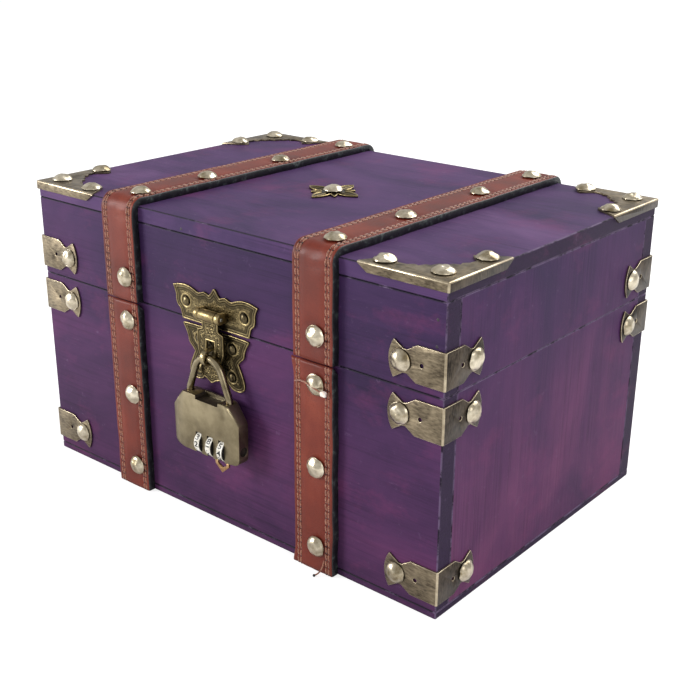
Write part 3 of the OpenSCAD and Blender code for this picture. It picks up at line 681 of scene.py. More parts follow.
def grow(name, tree, points, normals, alongs, values, edges=()):
    # a mesh of bare points carries the tree, and its evaluated result becomes the piece
    mesh = bpy.data.meshes.new(name)
    mesh.from_pydata([tuple(p) for p in points], list(edges), [])
    for label, vectors in (("outward", normals), ("along", alongs)):
        attribute = mesh.attributes.new(label, "FLOAT_VECTOR", "POINT")
        attribute.data.foreach_set("vector", np.array(vectors, np.float32).ravel())
    obj = linked(name, mesh)
    modifier = obj.modifiers.new("repeat", "NODES")
    modifier.node_group = tree
    for item in tree.interface.items_tree:
        if item.in_out == "INPUT" and item.name in values:
            modifier[item.identifier] = values[item.name]
    flattenModifiers(obj)
    for polygon in obj.data.polygons:
        polygon.use_smooth = True
    return obj


def turnedTo(tree, outward, along):
    first = socketOf(tree, "FunctionNodeAlignRotationToVector", {"Vector": along}, axis="X")
    return socketOf(tree, "FunctionNodeAlignRotationToVector", {"Rotation": first, "Vector": outward},
                    axis="Z", pivot_axis="X")


def namedVector(tree, label):
    return addNode(tree, "GeometryNodeInputNamedAttribute", {"Name": label},
                   data_type="FLOAT_VECTOR").outputs["Attribute"]


def combined(tree, x=0.0, y=0.0, z=0.0):
    return socketOf(tree, "ShaderNodeCombineXYZ", {"X": x, "Y": y, "Z": z})


def scaledVector(tree, vector, scale):
    return socketOf(tree, "ShaderNodeVectorMath", {0: vector, "Scale": scale}, operation="SCALE")


def placed(tree, shape, **inputs):
    return socketOf(tree, "GeometryNodeSetPosition", {"Geometry": shape, **inputs})


def ballOf(tree, segments, rings, radius):
    return socketOf(tree, "GeometryNodeMeshUVSphere", {
        "Segments": segments, "Rings": rings, "Radius": radius})


def spunAtRandom(tree, rotation, least, most, seed):
    # turns round the outward direction by an angle between two limits
    angle = addNode(tree, "FunctionNodeRandomValue", {2: least, 3: most, "Seed": seed}, data_type="FLOAT")
    turn = socketOf(tree, "FunctionNodeEulerToRotation", {"Euler": combined(tree, z=angle.outputs[1])})
    return socketOf(tree, "FunctionNodeRotateRotation", {"Rotation": rotation, "Rotate By": turn},
                    rotation_space="LOCAL")


def copied(tree, points, shape, rotation):
    copies = socketOf(tree, "GeometryNodeInstanceOnPoints", {
        "Points": points, "Instance": shape, "Rotation": rotation})
    return socketOf(tree, "GeometryNodeRealizeInstances", {"Geometry": copies})


def coated(tree, shape, material):
    return socketOf(tree, "GeometryNodeSetMaterial", {"Geometry": shape, "Material": material})


nailShape = {
    "bulge": 1.45,         # power that turns the ball's upper half into a dome
    "rim": 0.1,            # how far the rim turns in below it
    "hammered": 3.0,       # mm, size of the dents
    "smooth": 0.42,        # level of the hammer pattern under which nothing is dented
}


# A pressed head: a ball's upper half flattened to a dome with a turned-in rim, dented by hand hammering
def domeNailTree():
    tree, given, result = newTree("domeNails", [
        ("Head width", "Float"), ("Head height", "Float"), ("Dent depth", "Float"),
        ("Seed", "Int"), ("Brass", "Material")])
    place = socketOf(tree, "GeometryNodeInputPosition")
    x, y, z = split(tree, place)
    dome = calc(tree, "POWER", calc(tree, "MAXIMUM", z, 0.0), nailShape["bulge"])
    rim = calc(tree, "MULTIPLY", calc(tree, "MINIMUM", z, 0.0), nailShape["rim"])
    level = calc(tree, "ADD", calc(tree, "ADD", dome, rim), nailShape["rim"])
    share = calc(tree, "DIVIDE", level, 1 + nailShape["rim"])
    radius = calc(tree, "MULTIPLY", given["Head width"], 0.5)
    shaped = combined(tree, calc(tree, "MULTIPLY", x, radius), calc(tree, "MULTIPLY", y, radius),
                      calc(tree, "MULTIPLY", share, given["Head height"]))
    head = placed(tree, ballOf(tree, 28, 16, 1.0), Position=shaped)
    aimed = turnedTo(tree, namedVector(tree, "outward"), namedVector(tree, "along"))
    heads = copied(tree, given["Geometry"], head, spunAtRandom(tree, aimed, 0.0, 6.283, given["Seed"]))
    hammer = addNode(tree, "ShaderNodeTexNoise", {
        "Vector": place, "Scale": 1 / (nailShape["hammered"] * mm), "Detail": 0.6}).outputs["Fac"]
    sunk = calc(tree, "MAXIMUM", calc(tree, "SUBTRACT", hammer, nailShape["smooth"]), 0.0)
    inward = calc(tree, "MULTIPLY", calc(tree, "MULTIPLY", sunk, given["Dent depth"]), -1.0)
    push = scaledVector(tree, socketOf(tree, "GeometryNodeInputNormal"), inward)
    tree.links.new(coated(tree, placed(tree, heads, Offset=push), given["Brass"]), result)
    return tree


midHeight = 0.06     # m; flat-lying heads above it face up


def nailSeats(nodeName, headHeight):
    # where each head sits and which way it faces, read from the node's own solids
    seats = []
    for corners in islands(nodeName):
        low, high = Vector(corners.min(0)), Vector(corners.max(0))
        size = high - low
        middle = (low + high) / 2
        spread = [abs(size[(i + 1) % 3] - size[(i + 2) % 3]) for i in range(3)]
        axis = spread.index(min(spread))
        sign = 1 if middle[axis] > (midHeight if axis == 2 else 0) else -1
        out = Vector((0, 0, 0))
        out[axis] = sign
        tip = middle.copy()
        tip[axis] = high[axis] if sign > 0 else low[axis]
        seats.append((tip - out * headHeight * mm, out))
    return seats


domeNail = {
    "height": mmBox("rosette_nail")[1].z - mmBox("rosette")[1].z,     # mm
    "width": mmBox("rosette_nail")[1].x - mmBox("rosette_nail")[0].x,
    "lift": 0.06, "dent": 1.6,
}
smallNail = {
    "height": mmBox("keeper_plate")[0].y - mmBox("keeper_nails")[0].y,
    "width": np.ptp(islands("keeper_nails")[0][:, 0]) / mm,
    "lift": 0.02, "dent": 0.5,
}
domeNodes = ("body_strap_nails", "body_bracket_nails", "lid_strap_nails", "corner_plate_nails",
             "lid_bracket_nails", "rosette_nail")
smallNodes = ("keeper_nails", "hinge_body_nails", "latch_nails", "hinge_lid_nails")


def makeNails():
    tree = domeNailTree()
    for names, size, slot, brass in (
            (domeNodes, domeNail, "dome_nail_brass", "nail"),
            (smallNodes, smallNail, "latch_bronze", "smallNail")):
        for order, name in enumerate(names):
            seats = nailSeats(name, size["height"])
            points = [seat + out * size["lift"] * mm for seat, out in seats]
            outs = [out for _, out in seats]
            alongs = [Vector((0, 0, 1)) if abs(o.z) < 0.5 else Vector((1, 0, 0)) for o in outs]
            obj = grow(name + "_heads", tree, points, outs, alongs, {
                "Head width": size["width"] * mm, "Head height": (size["height"] - size["lift"]) * mm,
                "Dent depth": size["dent"] * mm, "Seed": order + 3, "Brass": materials[brass]})
            hand(obj, bodyOf[name], slot, name)


makeNails()
print("stage: nails made")

stitching = {
    "pitch": 3.1, "length": 3.0, "width": 1.05, "hole": 0.55,     # mm
    "lean": 17,              # degrees
    "leanBack": -0.3,        # share of the lean that the least leaning stitch has
}


# Lockstitch in thick thread: each stitch leans a little, with a dark bead of painted shade in the needle hole
# at its end
def stitchTree():
    tree, given, result = newTree("stitches", [
        ("Pitch", "Float"), ("Length", "Float"), ("Width", "Float"), ("Lean", "Float"), ("Hole", "Float"),
        ("Seed", "Int"), ("Thread", "Material"), ("Needle hole", "Material")])
    curve = socketOf(tree, "GeometryNodeMeshToCurve", {"Mesh": given["Geometry"]})
    spaced = socketOf(tree, "GeometryNodeResampleCurve", {"Curve": curve, "Length": given["Pitch"]},
                      mode="LENGTH")
    tangent = socketOf(tree, "GeometryNodeInputTangent")
    least = calc(tree, "MULTIPLY", given["Lean"], stitching["leanBack"])
    turned = spunAtRandom(tree, turnedTo(tree, namedVector(tree, "outward"), tangent),
                          least, given["Lean"], given["Seed"])
    halfway = calc(tree, "MULTIPLY", given["Pitch"], 0.5)
    shifted = placed(tree, spaced, Offset=scaledVector(tree, tangent, halfway))
    ball = ballOf(tree, 8, 6, 0.5)
    joined = addNode(tree, "GeometryNodeJoinGeometry")
    for points, length, width, material in (
            (spaced, "Length", "Width", "Thread"), (shifted, "Hole", "Hole", "Needle hole")):
        size = combined(tree, given[length], given[width], given[width])
        bead = socketOf(tree, "GeometryNodeTransform", {"Geometry": ball, "Scale": size})
        done = coated(tree, copied(tree, points, bead, turned), given[material])
        tree.links.new(done, joined.inputs[0])
    tree.links.new(joined.outputs[0], result)
    return tree


def makeStitches():
    tree = stitchTree()
    for order, name in enumerate(strapNames):
        path, half, middle = strapPaths[name]
        points, outs, edges = [], [], []
        for side in (-1, 1):
            for row in strap["row"]:
                start = len(points)
                u = side * (half - row)
                sink = strapDepth(u, half)
                for point, out in path[1:-1]:
                    points.append((Vector((middle + u, point.y, point.z)) - out * sink) * mm)
                    outs.append(out)
                edges += [(i, i + 1) for i in range(start, len(points) - 1)]
        obj = grow(name + "_stitching", tree, points, outs, outs, {
            **{key.title(): stitching[key] * mm for key in ("pitch", "length", "width", "hole")},
            "Lean": math.radians(stitching["lean"]), "Seed": order + 1,
            # the black edge paint is painted shade in the needle holes
            "Thread": materials["thread"], "Needle hole": materials["leatherEdge"]}, edges)
        hand(obj, bodyOf[name], "strap_leather")


makeStitches()
print("stage: stitching made")


# ---- brackets and corner plates ----

sheet = {
    "fold": 0.65, "rim": 0.2,     # mm, radii of the fold and of the cut edges
    "rimAngle": 50,               # degrees, sharper edges than this are cut edges
}


def foldedSheet(name):
    # the fold along the box's edge is rounded and made lighter, rubbed wear with a painted highlight, before
    # the other edges are broken
    low, high = mmBox(name)
    bm = mergedCopy(name)
    outerX = high.x if high.x > 0 else low.x
    outerY = high.y if high.y > 0 else low.y

    def onFold(co):
        planes = [abs(a - b) < meshing["level"] for a, b in zip(co / mm, (outerX, outerY, high.z))]
        return planes if "plate" in name else planes[:2]

    folds = [e for e in bm.edges
             if sum(a and b for a, b in zip(onFold(e.verts[0].co), onFold(e.verts[1].co))) > 1]
    made = bmesh.ops.bevel(bm, geom=folds, offset=sheet["fold"] * mm, segments=3, affect="EDGES", profile=0.5)
    for face in made["faces"]:
        face.material_index = 1
    for face in bm.faces:                          # the leaf on the box's end takes a darker copy of the brass, painted shade, and is brushed upwards
        if abs(face.normal.x) > meshing["square"] and face.material_index == 0:
            face.material_index = 2
    obj = makeObject(name + "_dressed", bm, ["sheetBrass", "sheetEdge", "sheetBrassEnd"])
    breakEdges(obj, sheet["rim"], angle=sheet["rimAngle"])
    return obj


def makeSheetBrass():
    for name in [n for n in nodes if "bracket_" in n or n.startswith("corner_plate_")]:
        if not name.endswith("nails"):
            hand(foldedSheet(name), bodyOf[name], "antique_brass", name)


makeSheetBrass()
print("stage: brackets and corner plates made")


# ---- embossed plates ----

def facesAlong(bm, axis, sign):
    return [f for f in bm.faces if f.normal[axis] * sign > meshing["square"]]


def levelOf(face, axis):
    return face.calc_center_median()[axis] / mm


def outlineLoops(nodeName, axis, level, sign):
    # rims of the flat faces of a node that lie at one level, as lists of flat points in mm
    bm = mergedCopy(nodeName)
    chosen = {f for f in facesAlong(bm, axis, sign) if abs(levelOf(f, axis) - level) < meshing["level"]}
    nextOf = {}
    for face in chosen:
        for loop in face.loops:
            if not any(other in chosen for other in loop.edge.link_faces if other is not face):
                nextOf[loop.vert] = loop.link_loop_next.vert
    flat = [i for i in range(3) if i != axis]
    loops = []
    while nextOf:
        start, here = next(iter(nextOf.items()))
        ring = [start]
        del nextOf[start]
        while here is not start and here in nextOf:
            ring.append(here)
            here = nextOf.pop(here)
        loops.append([Vector([v.co[i] for i in flat]) / mm for v in ring])
    bm.free()
    return sorted(loops, key=lambda ring: -abs(signedArea(ring)))


def signedArea(ring):
    return sum(a.x * b.y - b.x * a.y for a, b in zip(ring, ring[1:] + ring[:1])) / 2


def rounded(ring, sharpAngle=62, passes=2):
    # cuts the corners of an outline, but keeps its points and cusps
    for _ in range(passes):
        fresh = []
        for before, here, after in zip(ring[-1:] + ring[:-1], ring, ring[1:] + ring[:1]):
            arriving, leaving = here - before, after - here
            apart = min(arriving.length, leaving.length) > 1e-6
            if apart and abs(arriving.angle_signed(leaving, 0)) > math.radians(sharpAngle):
                fresh.append(here)
            else:
                fresh += [here.lerp(before, 0.25), here.lerp(after, 0.25)]
        ring = fresh
    return ring


def spacedOut(ring, step):
    points = []
    for a, b in zip(ring, ring[1:] + ring[:1]):
        count = max(1, round((b - a).length / step))
        points += [a.lerp(b, i / count) for i in range(count)]
    return points


def distances(points, rings):
    # distance of each point to the nearest rim
    p = np.array(points)
    best = np.full(len(p), 1e9)
    for ring in rings:
        a = np.array(ring)
        for start, end in zip(a, np.roll(a, -1, axis=0)):
            d = end - start
            t = np.clip(((p - start) @ d) / max(d @ d, 1e-12), 0, 1)
            best = np.minimum(best, np.hypot(*(p - start - t[:, None] * d).T))
    return best


def insideOf(points, ring):
    p = np.array(points)
    inside = np.zeros(len(p), bool)
    for a, b in zip(ring, ring[1:] + ring[:1]):
        crosses = (a.y > p[:, 1]) != (b.y > p[:, 1])
        if a.y != b.y:
            at = (b.x - a.x) * (p[:, 1] - a.y) / (b.y - a.y) + a.x
            inside ^= crosses & (p[:, 0] < at)
    return inside


def within(points, rims):
    # inside the first rim and outside the others
    kept = insideOf(points, rims[0])
    for rim in rims[1:]:
        kept &= ~insideOf(points, rim)
    return kept


def embossedPlate(bm, rings, toWorld, height, step):
    # one closed plate over a triangular grid: height(distances, points) gives its face, and its back is at 0
    rims = [spacedOut(ring, step) for ring in rings]
    xs, ys = zip(*rims[0])
    grid = [Vector((x, y + (step / 2 if column % 2 else 0)))
            for column, x in enumerate(np.arange(min(xs), max(xs), step * meshing["gridRow"]))
            for y in np.arange(min(ys), max(ys), step)]
    keep = within(grid, rims) & (distances(grid, rims) > step * meshing["rimGap"])
    points, edges = [], []
    for ring in rims:
        start = len(points)
        points += ring
        edges += [(start + i, start + (i + 1) % len(ring)) for i in range(len(ring))]
    points += [g for g, k in zip(grid, keep) if k]
    verts, _, faces, *_ = geometry.delaunay_2d_cdt(points, edges, [], 0, 1e-5)
    middles = [sum((verts[i] for i in face), Vector((0, 0))) / 3 for face in faces]
    heights = height(distances(verts, rims), verts)
    low, high = min(heights), max(heights)
    layer = bm.verts.layers.float.get("raised") or bm.verts.layers.float.new("raised")
    top = [bm.verts.new(toWorld(v.x, v.y, h) * mm) for v, h in zip(verts, heights)]
    for vert, h in zip(top, heights):
        vert[layer] = (h - low) / max(high - low, 1e-6)
    bottom = [bm.verts.new(toWorld(v.x, v.y, 0) * mm) for v in verts]
    made, sides = [], {}
    for (a, b, c), solid in zip(faces, within(middles, rims)):
        if solid:
            made.append(bm.faces.new((top[a], top[b], top[c])))
            made.append(bm.faces.new((bottom[c], bottom[b], bottom[a])))
            sides.update(dict.fromkeys(((a, b), (b, c), (c, a))))
    for a, b in sides:
        if (b, a) not in sides:
            made.append(bm.faces.new((top[b], top[a], bottom[a], bottom[b])))
    bmesh.ops.recalc_face_normals(bm, faces=made)


relief = {
    "step": 0.3,                                      # mm between the grid's corners
    "rimPeak": 0.15, "rimHalf": 0.36,                 # mm in from the rim
    "line": 1.1, "lineStart": 0.1, "lineHalf": 0.26,  # mm; lines that follow the rim
    "lineTop": 0.85, "lineFade": 0.2,                 # height of the lines, and what each one loses
    "scroll": 1.6, "speckle": 0.5,                    # mm; the foliage's coarse and fine pattern
    "ground": 0.52, "sunk": 0.2, "fineShare": 1.1, "scrollShare": 0.35, "scrollHalf": 0.2, "vineTop": 0.95,
    "nailClear": 2.6, "nailRing": 2.75, "nailHalf": 0.38,     # mm from a nail's middle
    "innerFade": 0.6, "nailFade": 0.4,       # mm over which the foliage ends at the lines and the nails
    "low": 0.72,             # the lowest ground, as a share of the plate's thickness
}


def bump1d(value, centre, width):
    return np.exp(-((value - centre) / width) ** 2)


def noiseAt(points, seat, size):
    return np.array([noise.noise(Vector((p.x, p.y, seat)) / size) for p in points])


def castHeight(full, nails, lines, rough):
    # raised rim, lines that follow it, a ring round each nail and worn foliage between
    r = relief

    def height(away, points):
        raised = bump1d(away, r["rimPeak"], r["rimHalf"])
        for i in range(1, lines + 1):
            crest = bump1d(away, i * r["line"] + r["lineStart"], r["lineHalf"])
            raised = np.maximum(raised, (r["lineTop"] - r["lineFade"] * i) * crest)
        scroll = bump1d(noiseAt(points, 3, r["scroll"]), 0, r["scrollHalf"])
        fine = noiseAt(points, 9, r["speckle"])
        vines = r["ground"] + rough * (r["fineShare"] * fine + r["scrollShare"] * scroll - r["sunk"])
        inner = np.clip((away - r["line"] * lines - 0.2) / r["innerFade"], 0, 1)
        raised = np.maximum(raised, np.clip(vines, 0, r["vineTop"]) * inner)
        for nail in nails:
            gap = np.array([(p - nail).length for p in points])
            flat = np.clip((gap - r["nailClear"]) / r["nailFade"], 0, 1)
            raised = np.maximum(raised * flat, bump1d(gap, r["nailRing"], r["nailHalf"]))
        return full * (r["low"] + (1 - r["low"]) * raised)
    return height


frontY = mmBox("body_front_board")[0].y


def nailPlaces(nodeName, axisA, axisB):
    return [Vector((s[axisA], s[axisB])) / mm for s, out in nailSeats(nodeName, smallNail["height"])]


def widestLevel(nodeName, axis, sign):
    # where the largest flat faces that look one way lie, in mm
    areas = {}
    bm = mergedCopy(nodeName)
    for face in facesAlong(bm, axis, sign):
        level = round(levelOf(face, axis), 2)
        areas[level] = areas.get(level, 0) + face.calc_area()
    bm.free()
    return max(areas, key=areas.get)


def reachAcross(nodeName, inFrontOf):
    # least and greatest distance from the middle of the corners in front of a plane, in mm
    xs = [abs(v.co.x) / mm for v in nodes[nodeName].data.vertices if v.co.y / mm < inFrontOf]
    return min(xs), max(xs)


latch = {
    # lines that follow the rim and how rough the foliage is
    "latch_plate": (2, 0.35), "keeper_plate": (2, 0.65), "hasp_tongue": (1, 0.9),
    "leastHole": 8,                          # mm2, smaller holes are hidden by nails
    "knuckleLip": 0.45, "barrelLip": 0.3,    # mm
    "webNarrower": 0.1, "webLower": 0.8,     # mm, the web behind a knuckle
    "extraTone": 0.9,                        # how rubbed the knuckles are
    "stapleEdge": 0.3, "pinEdge": 0.25,      # mm
}


def castPlate(name, nails, back, full, body, extra=None):
    # an embossed plate with its outline and holes read from the node
    bm = bmesh.new()
    rings = outlineLoops(name, 1, back, 1)
    holes = [r for r in rings[1:] if abs(signedArea(r)) > latch["leastHole"]]
    embossedPlate(bm, [rounded(rings[0])] + holes, lambda u, v, h: Vector((u, back - h, v)),
                  castHeight(full, nailPlaces(nails, 0, 2) if nails else [], *latch[name]), relief["step"])
    if extra:
        count = len(bm.verts)
        extra(bm)
        layer = bm.verts.layers.float["raised"]
        bm.verts.ensure_lookup_table()
        for vert in bm.verts[count:]:
            vert[layer] = latch["extraTone"]
    hand(makeObject(name + "_cast", bm, ["cast"]), body, "latch_bronze", name)


def makeLatch():
    pinLow, pinHigh = mmBox("hasp_pin")
    axis = (pinLow + pinHigh) / 2
    centre = Vector((0, axis.y, axis.z))
    knuckle = axis.y - mmBox("hasp_tongue")[0].y
    inner, outer = reachAcross("latch_plate", axis.y - knuckle / 2)
    tongueHalf = reachAcross("hasp_tongue", axis.y - knuckle / 2)[1]
    plateFull = frontY - widestLevel("keeper_plate", 1, -1)

    def pinRings(bm):
        reach = frontY - axis.y
        size = Vector((outer - inner - latch["webNarrower"], reach - plateFull,
                       2 * knuckle - latch["webLower"]))
        for side in (-1, 1):
            start, end = sorted((side * inner, side * outer))
            roundedRod(bm, start, end, knuckle, latch["knuckleLip"], (1, 0, 0), centre)
            middle = Vector((side * (inner + outer) / 2, frontY - (plateFull + reach) / 2, axis.z))
            for vert in bmesh.ops.create_cube(bm, size=1)["verts"]:
                vert.co = (middle + vert.co * size) * mm

    def barrel(bm):
        roundedRod(bm, -tongueHalf, tongueHalf, knuckle, latch["barrelLip"], (1, 0, 0), centre)

    castPlate("latch_plate", "latch_nails", frontY, plateFull, "lid", pinRings)
    castPlate("keeper_plate", "keeper_nails", frontY, plateFull, "box")
    tongueFront, tongueBack = (widestLevel("hasp_tongue", 1, sign) for sign in (-1, 1))
    castPlate("hasp_tongue", None, tongueBack, tongueBack - tongueFront, "hasp", barrel)
    staple = softened("keeper_staple", ["smoothCast"], latch["stapleEdge"], segments=3)
    hand(staple, "box", "latch_bronze", "keeper_staple")
    hand(softened("hasp_pin", ["steel"], latch["pinEdge"]), "lid", "pin_steel", "hasp_pin")


makeLatch()


# ---- rosette ----

rosette = {
    "step": 0.3, "rimPeak": 0.1, "rimHalf": 0.5, "veinHalf": 0.35,     # mm
    "veinTop": 0.75, "low": 0.4,                                       # shares of its height
}


def makeRosette():
    low, high = mmBox("rosette")
    bm = bmesh.new()
    rings = outlineLoops("rosette", 2, low.z, -1)

    def height(away, points):
        vein = np.array([min(abs(p.x), abs(p.y - (low.y + high.y) / 2)) for p in points])
        raised = np.maximum(bump1d(away, rosette["rimPeak"], rosette["rimHalf"]),
                            rosette["veinTop"] * bump1d(vein, 0, rosette["veinHalf"]))
        return (high.z - low.z) * (rosette["low"] + (1 - rosette["low"]) * raised)

    embossedPlate(bm, [rounded(rings[0], passes=1)], lambda u, v, h: Vector((u, v, low.z + h)),
                  height, rosette["step"])
    hand(makeObject("rosette_stamped", bm, ["cast"]), "lid", "antique_brass", "rosette")


makeRosette()
print("stage: latch and rosette made")


# ---- padlock ----

dial = {
    "fontSize": 3.375, "digitRaise": 0.05, "digitBold": 0.07,     # mm
    "digitWiden": 1.3,
    "lip": 0.25, "groove": 0.12, "bore": 1.3,                     # mm
    "figures": 10, "showing": (2, 7, 4),
}
padlock = {
    "caseEdge": 0.18, "loopEdge": 0.15,     # mm
    "hollow": 0.12,                         # mm, how deep a face lies before it takes painted shade
}


def digitMesh(figure):
    curve = bpy.data.curves.new("digit", "FONT")
    curve.body = str(figure)
    curve.size = dial["fontSize"]
    curve.offset = dial["digitBold"]
    curve.align_x = "CENTER"
    curve.align_y = "CENTER"
    curve.resolution_u = 2
    obj = linked("digit", curve)
    mesh = bpy.data.meshes.new_from_object(obj.evaluated_get(bpy.context.evaluated_depsgraph_get()))
    bpy.data.objects.remove(obj)
    bpy.data.curves.remove(curve)
    return mesh


def makeDial(nodeName, showing, digits):
    low, high = mmBox(nodeName)
    centre = (low + high) / 2
    radius = (high.z - low.z) / 2
    half = (high.x - low.x) / 2
    bm = bmesh.new()
    lip, floor = dial["lip"], radius - dial["groove"]
    profile = [(-half, dial["bore"]), (-half, radius - lip), (-half + lip, floor),
               (half - lip, floor), (half, radius - lip), (half, dial["bore"])]
    lathe(bm, profile, centre, (1, 0, 0), sides=40)
    for face in bm.faces:                          # the flanks are black
        face.normal_update()
        face.material_index = 1 if abs(face.normal.x) > 0.5 else 0
    r = floor + dial["digitRaise"]
    for figure, mesh in enumerate(digits):
        base = []
        for source in mesh.vertices:
            angle = math.tau / dial["figures"] * (figure - showing) + source.co.y / radius
            off = Vector((source.co.x * dial["digitWiden"], -r * math.cos(angle), r * math.sin(angle)))
            base.append(bm.verts.new((centre + off) * mm))
        for polygon in mesh.polygons:
            bm.faces.new([base[i] for i in polygon.vertices]).material_index = 1
    obj = makeObject(nodeName + "_wheel", bm, ["dialFace", "dialInk"], smooth=False)
    hand(obj, bodyOf[nodeName], "dial_enamel", nodeName)


def blackenHollows(obj, slot, depth):
    # faces inside the shape's hull by more than a depth in mm take a slot, which paints shade into the
    # hollows, but not the top recess's back wall
    bm = bmesh.new()
    bm.from_mesh(obj.data)
    shell = bm.copy()
    made = bmesh.ops.convex_hull(shell, input=shell.verts, use_existing_faces=False)
    planes = [(f.normal.copy(), f.calc_center_median()) for f in made["geom"]
              if isinstance(f, bmesh.types.BMFace) and f.calc_area() > 1e-9]
    middle = sum((p for _, p in planes), Vector()) / len(planes)
    planes = [(n if n.dot(p - middle) > 0 else -n, p) for n, p in planes]
    for face in bm.faces:
        here = face.calc_center_median()
        backWall = face.normal.y < -0.5 and here.z > middle.z
        if min(n.dot(p - here) for n, p in planes) > depth * mm and not backWall:
            face.material_index = slot
    bm.to_mesh(obj.data)
    bm.free()
    shell.free()


def makePadlock():
    case = softened("padlock_case", ["padlock"], padlock["caseEdge"], angle=35)
    # the recess colour is painted shade on faces deep inside the case
    case.data.materials.append(materials["recess"])
    blackenHollows(case, 1, padlock["hollow"])
    hand(case, "case", "padlock_brass", "padlock_case")
    wire = makeObject("padlock_shackle_wire", mergedCopy("padlock_shackle"), ["shackle"])
    hand(wire, "shackle", "padlock_brass", "padlock_shackle")
    digits = [digitMesh(figure) for figure in range(dial["figures"])]
    for name, showing in zip(("dial_left", "dial_middle", "dial_right"), dial["showing"]):
        makeDial(name, showing, digits)
    for mesh in digits:
        bpy.data.meshes.remove(mesh)
    hand(softened("index_loop", ["copper"], padlock["loopEdge"]), "case", "index_copper", "index_loop")


makePadlock()
print("stage: padlock made")


# ---- hinges, pins and other nodes that keep their own shape ----

hinge = {"edge": 0.2}     # mm


def makeHinges():
    for name in [n for n in nodes if n.startswith("hinge_") and "_leaf_" in n]:
        hand(softened(name, ["sheetBrass", "sheetEdge"], hinge["edge"]), bodyOf[name], "antique_brass", name)
    for name in ("padlock_catch", "padlock_spindle", "hinge_pins"):
        mesh = nodes[name].data
        mesh.materials.clear()
        mesh.materials.append(materials["steel"])


makeHinges()
print("stage: hinges made")


# ---- loose thread ends ----

looseThread = {    # mm
    "radius": 0.32,
    "seam": [(44.9, -78.4, 78.2), (48.5, -79.4, 79.6), (52.6, -80.6, 80.0),
             (57.0, -80.9, 78.9), (60.2, -80.3, 77.8)],
    "foot": [(59.0, -78.3, 6.0), (58.6, -79.0, 3.0), (58.0, -80.6, 1.2), (57.2, -82.2, 0.6)],
    "knob": 0.58,
    "glue": (60.4, -80.2, 77.6),
    "glueSize": (1.4, 0.8, 1.1),     # from its middle
    "glueSquare": 0.6,               # power that makes the drop squarer than a ball
    "glueWave": 0.18,                # share by which its surface strays
}


def smoothLine(points, steps=5):
    # a Catmull-Rom curve through the points
    points = [Vector(p) for p in points]
    padded = [points[0]] + points + [points[-1]]
    smooth = []
    for a, b, c, d in zip(padded, padded[1:], padded[2:], padded[3:]):
        for t in [i / steps for i in range(steps)]:
            smooth.append(0.5 * (2 * b + (c - a) * t + (2 * a - 5 * b + 4 * c - d) * t * t
                                 + (3 * b - a - 3 * c + d) * t ** 3))
    return smooth + [points[-1]]


def tube(bm, points, radius, sides=8):
    line = smoothLine(points)
    rings = []
    side = Vector((0, 0, 1))
    for before, here, after in zip([line[0]] + line, line, line[1:] + [line[-1]]):
        along = (after - before).normalized()
        side = (side - along * side.dot(along)).normalized()
        rings.append(circle(bm, here, side, along.cross(side), radius, sides))
    closedTube(bm, rings)


def makeThreadEnds():
    bm = bmesh.new()
    for end in ("seam", "foot"):
        tube(bm, looseThread[end], looseThread["radius"])
    knob = bmesh.ops.create_uvsphere(
        bm, u_segments=10, v_segments=8, radius=looseThread["knob"] * mm)["verts"]
    bmesh.ops.translate(bm, verts=knob, vec=Vector(looseThread["foot"][-1]) * mm)
    for face in {face for vert in knob for face in vert.link_faces}:
        face.material_index = 1
    bmesh.ops.recalc_face_normals(bm, faces=bm.faces)
    hand(makeObject("loose_thread_ends", bm, ["thread", "leatherEdge"]), "box", "strap_leather")
    bm = bmesh.new()
    for vert in bmesh.ops.create_uvsphere(bm, u_segments=16, v_segments=12, radius=1)["verts"]:
        wave = 1 + looseThread["glueWave"] * noise.noise(vert.co * 1.6 + Vector((4, 1, 2)))
        squared = Vector([math.copysign(abs(c) ** looseThread["glueSquare"], c) * reach
                          for c, reach in zip(vert.co, looseThread["glueSize"])])
        vert.co = (Vector(looseThread["glue"]) + squared * wave) * mm
    hand(makeObject("glue_drop", bm, ["glue"]), "box", "strap_leather")


makeThreadEnds()
print("stage: loose threads made")


# ---- floor and light ----

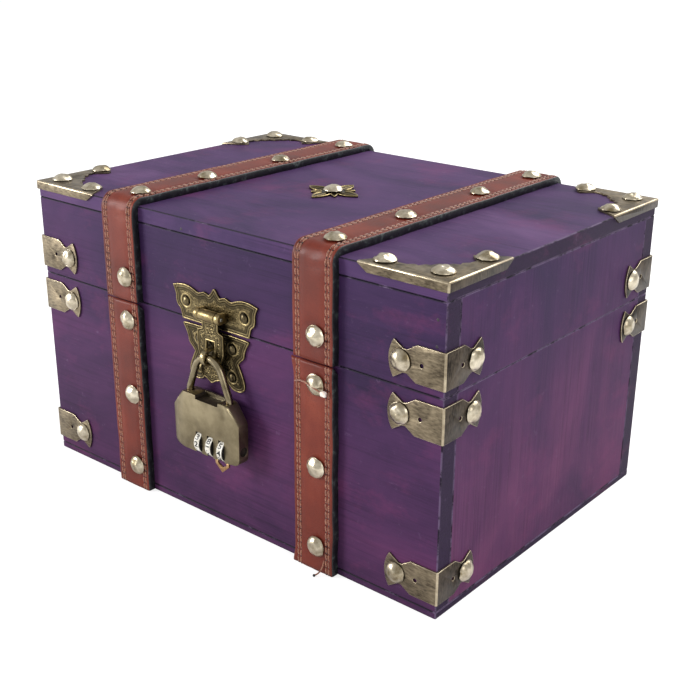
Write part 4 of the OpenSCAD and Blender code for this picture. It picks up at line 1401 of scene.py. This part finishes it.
light = {
    "world": 0.66,           # strength
    "floor": "#f4f4f4",
    "floorHalf": 6,          # m
    "floorShown": 0.5, "floorGlow": 1.45,     # share and strength of plain white in what the camera sees
    "aim": (0, 0, 0.06),     # m
    # soft boxes: place and size in m, power in W
    "leftBox": ((-0.95, -0.95, 0.45), 0.45, 14.5),
    "rightBox": ((1.1, -0.5, 0.6), 0.7, 3.2),
    "backBox": ((0.3, 0.9, 0.95), 0.9, 13.0),
}


def glowing(tree, kind, strength):
    return socketOf(tree, kind, {"Color": (1, 1, 1, 1), "Strength": strength})


def mixedShader(tree, share, first, second):
    return socketOf(tree, "ShaderNodeMixShader", {0: share, 1: first, 2: second})


# A matt white paper sweep that the camera sees a little brighter than it is lit
def floorMaterial():
    material = bpy.data.materials.new("paleFloor")
    tree = clearedTree(material)
    lit = socketOf(tree, "ShaderNodeBsdfDiffuse", {"Color": linear(light["floor"])})
    white = glowing(tree, "ShaderNodeEmission", light["floorGlow"])
    path = addNode(tree, "ShaderNodeLightPath").outputs
    seen = calc(tree, "MULTIPLY", path["Is Camera Ray"], light["floorShown"])
    addNode(tree, "ShaderNodeOutputMaterial", {"Surface": mixedShader(tree, seen, lit, white)})
    return material


def makeFloor():
    materials["floor"] = floorMaterial()
    bm = bmesh.new()
    bmesh.ops.create_grid(bm, x_segments=1, y_segments=1, size=light["floorHalf"])
    makeObject("floor", bm, ["floor"], smooth=False)


def makeWorld():
    world = bpy.data.worlds.new("studio")
    bpy.context.scene.world = world
    tree = clearedTree(world)
    path = addNode(tree, "ShaderNodeLightPath").outputs
    shown = calc(tree, "MAXIMUM", path["Is Camera Ray"], path["Is Transmission Ray"])
    room = glowing(tree, "ShaderNodeBackground", light["world"])
    white = glowing(tree, "ShaderNodeBackground", 1.0)
    addNode(tree, "ShaderNodeOutputWorld", {"Surface": mixedShader(tree, shown, room, white)})


def makeLamp(name):
    place, size, power = light[name]
    data = bpy.data.lights.new(name, "AREA")
    data.shape = "SQUARE"
    data.size = size
    data.energy = power
    lamp = linked(name, data)
    lamp.location = place
    lamp.rotation_mode = "QUATERNION"
    lamp.rotation_quaternion = (Vector(light["aim"]) - Vector(place)).to_track_quat("-Z", "Y")


makeFloor()
makeWorld()
for lampName in ("leftBox", "rightBox", "backBox"):
    makeLamp(lampName)
bpy.context.scene.view_settings.view_transform = "Standard"
print("stage: floor and light made")
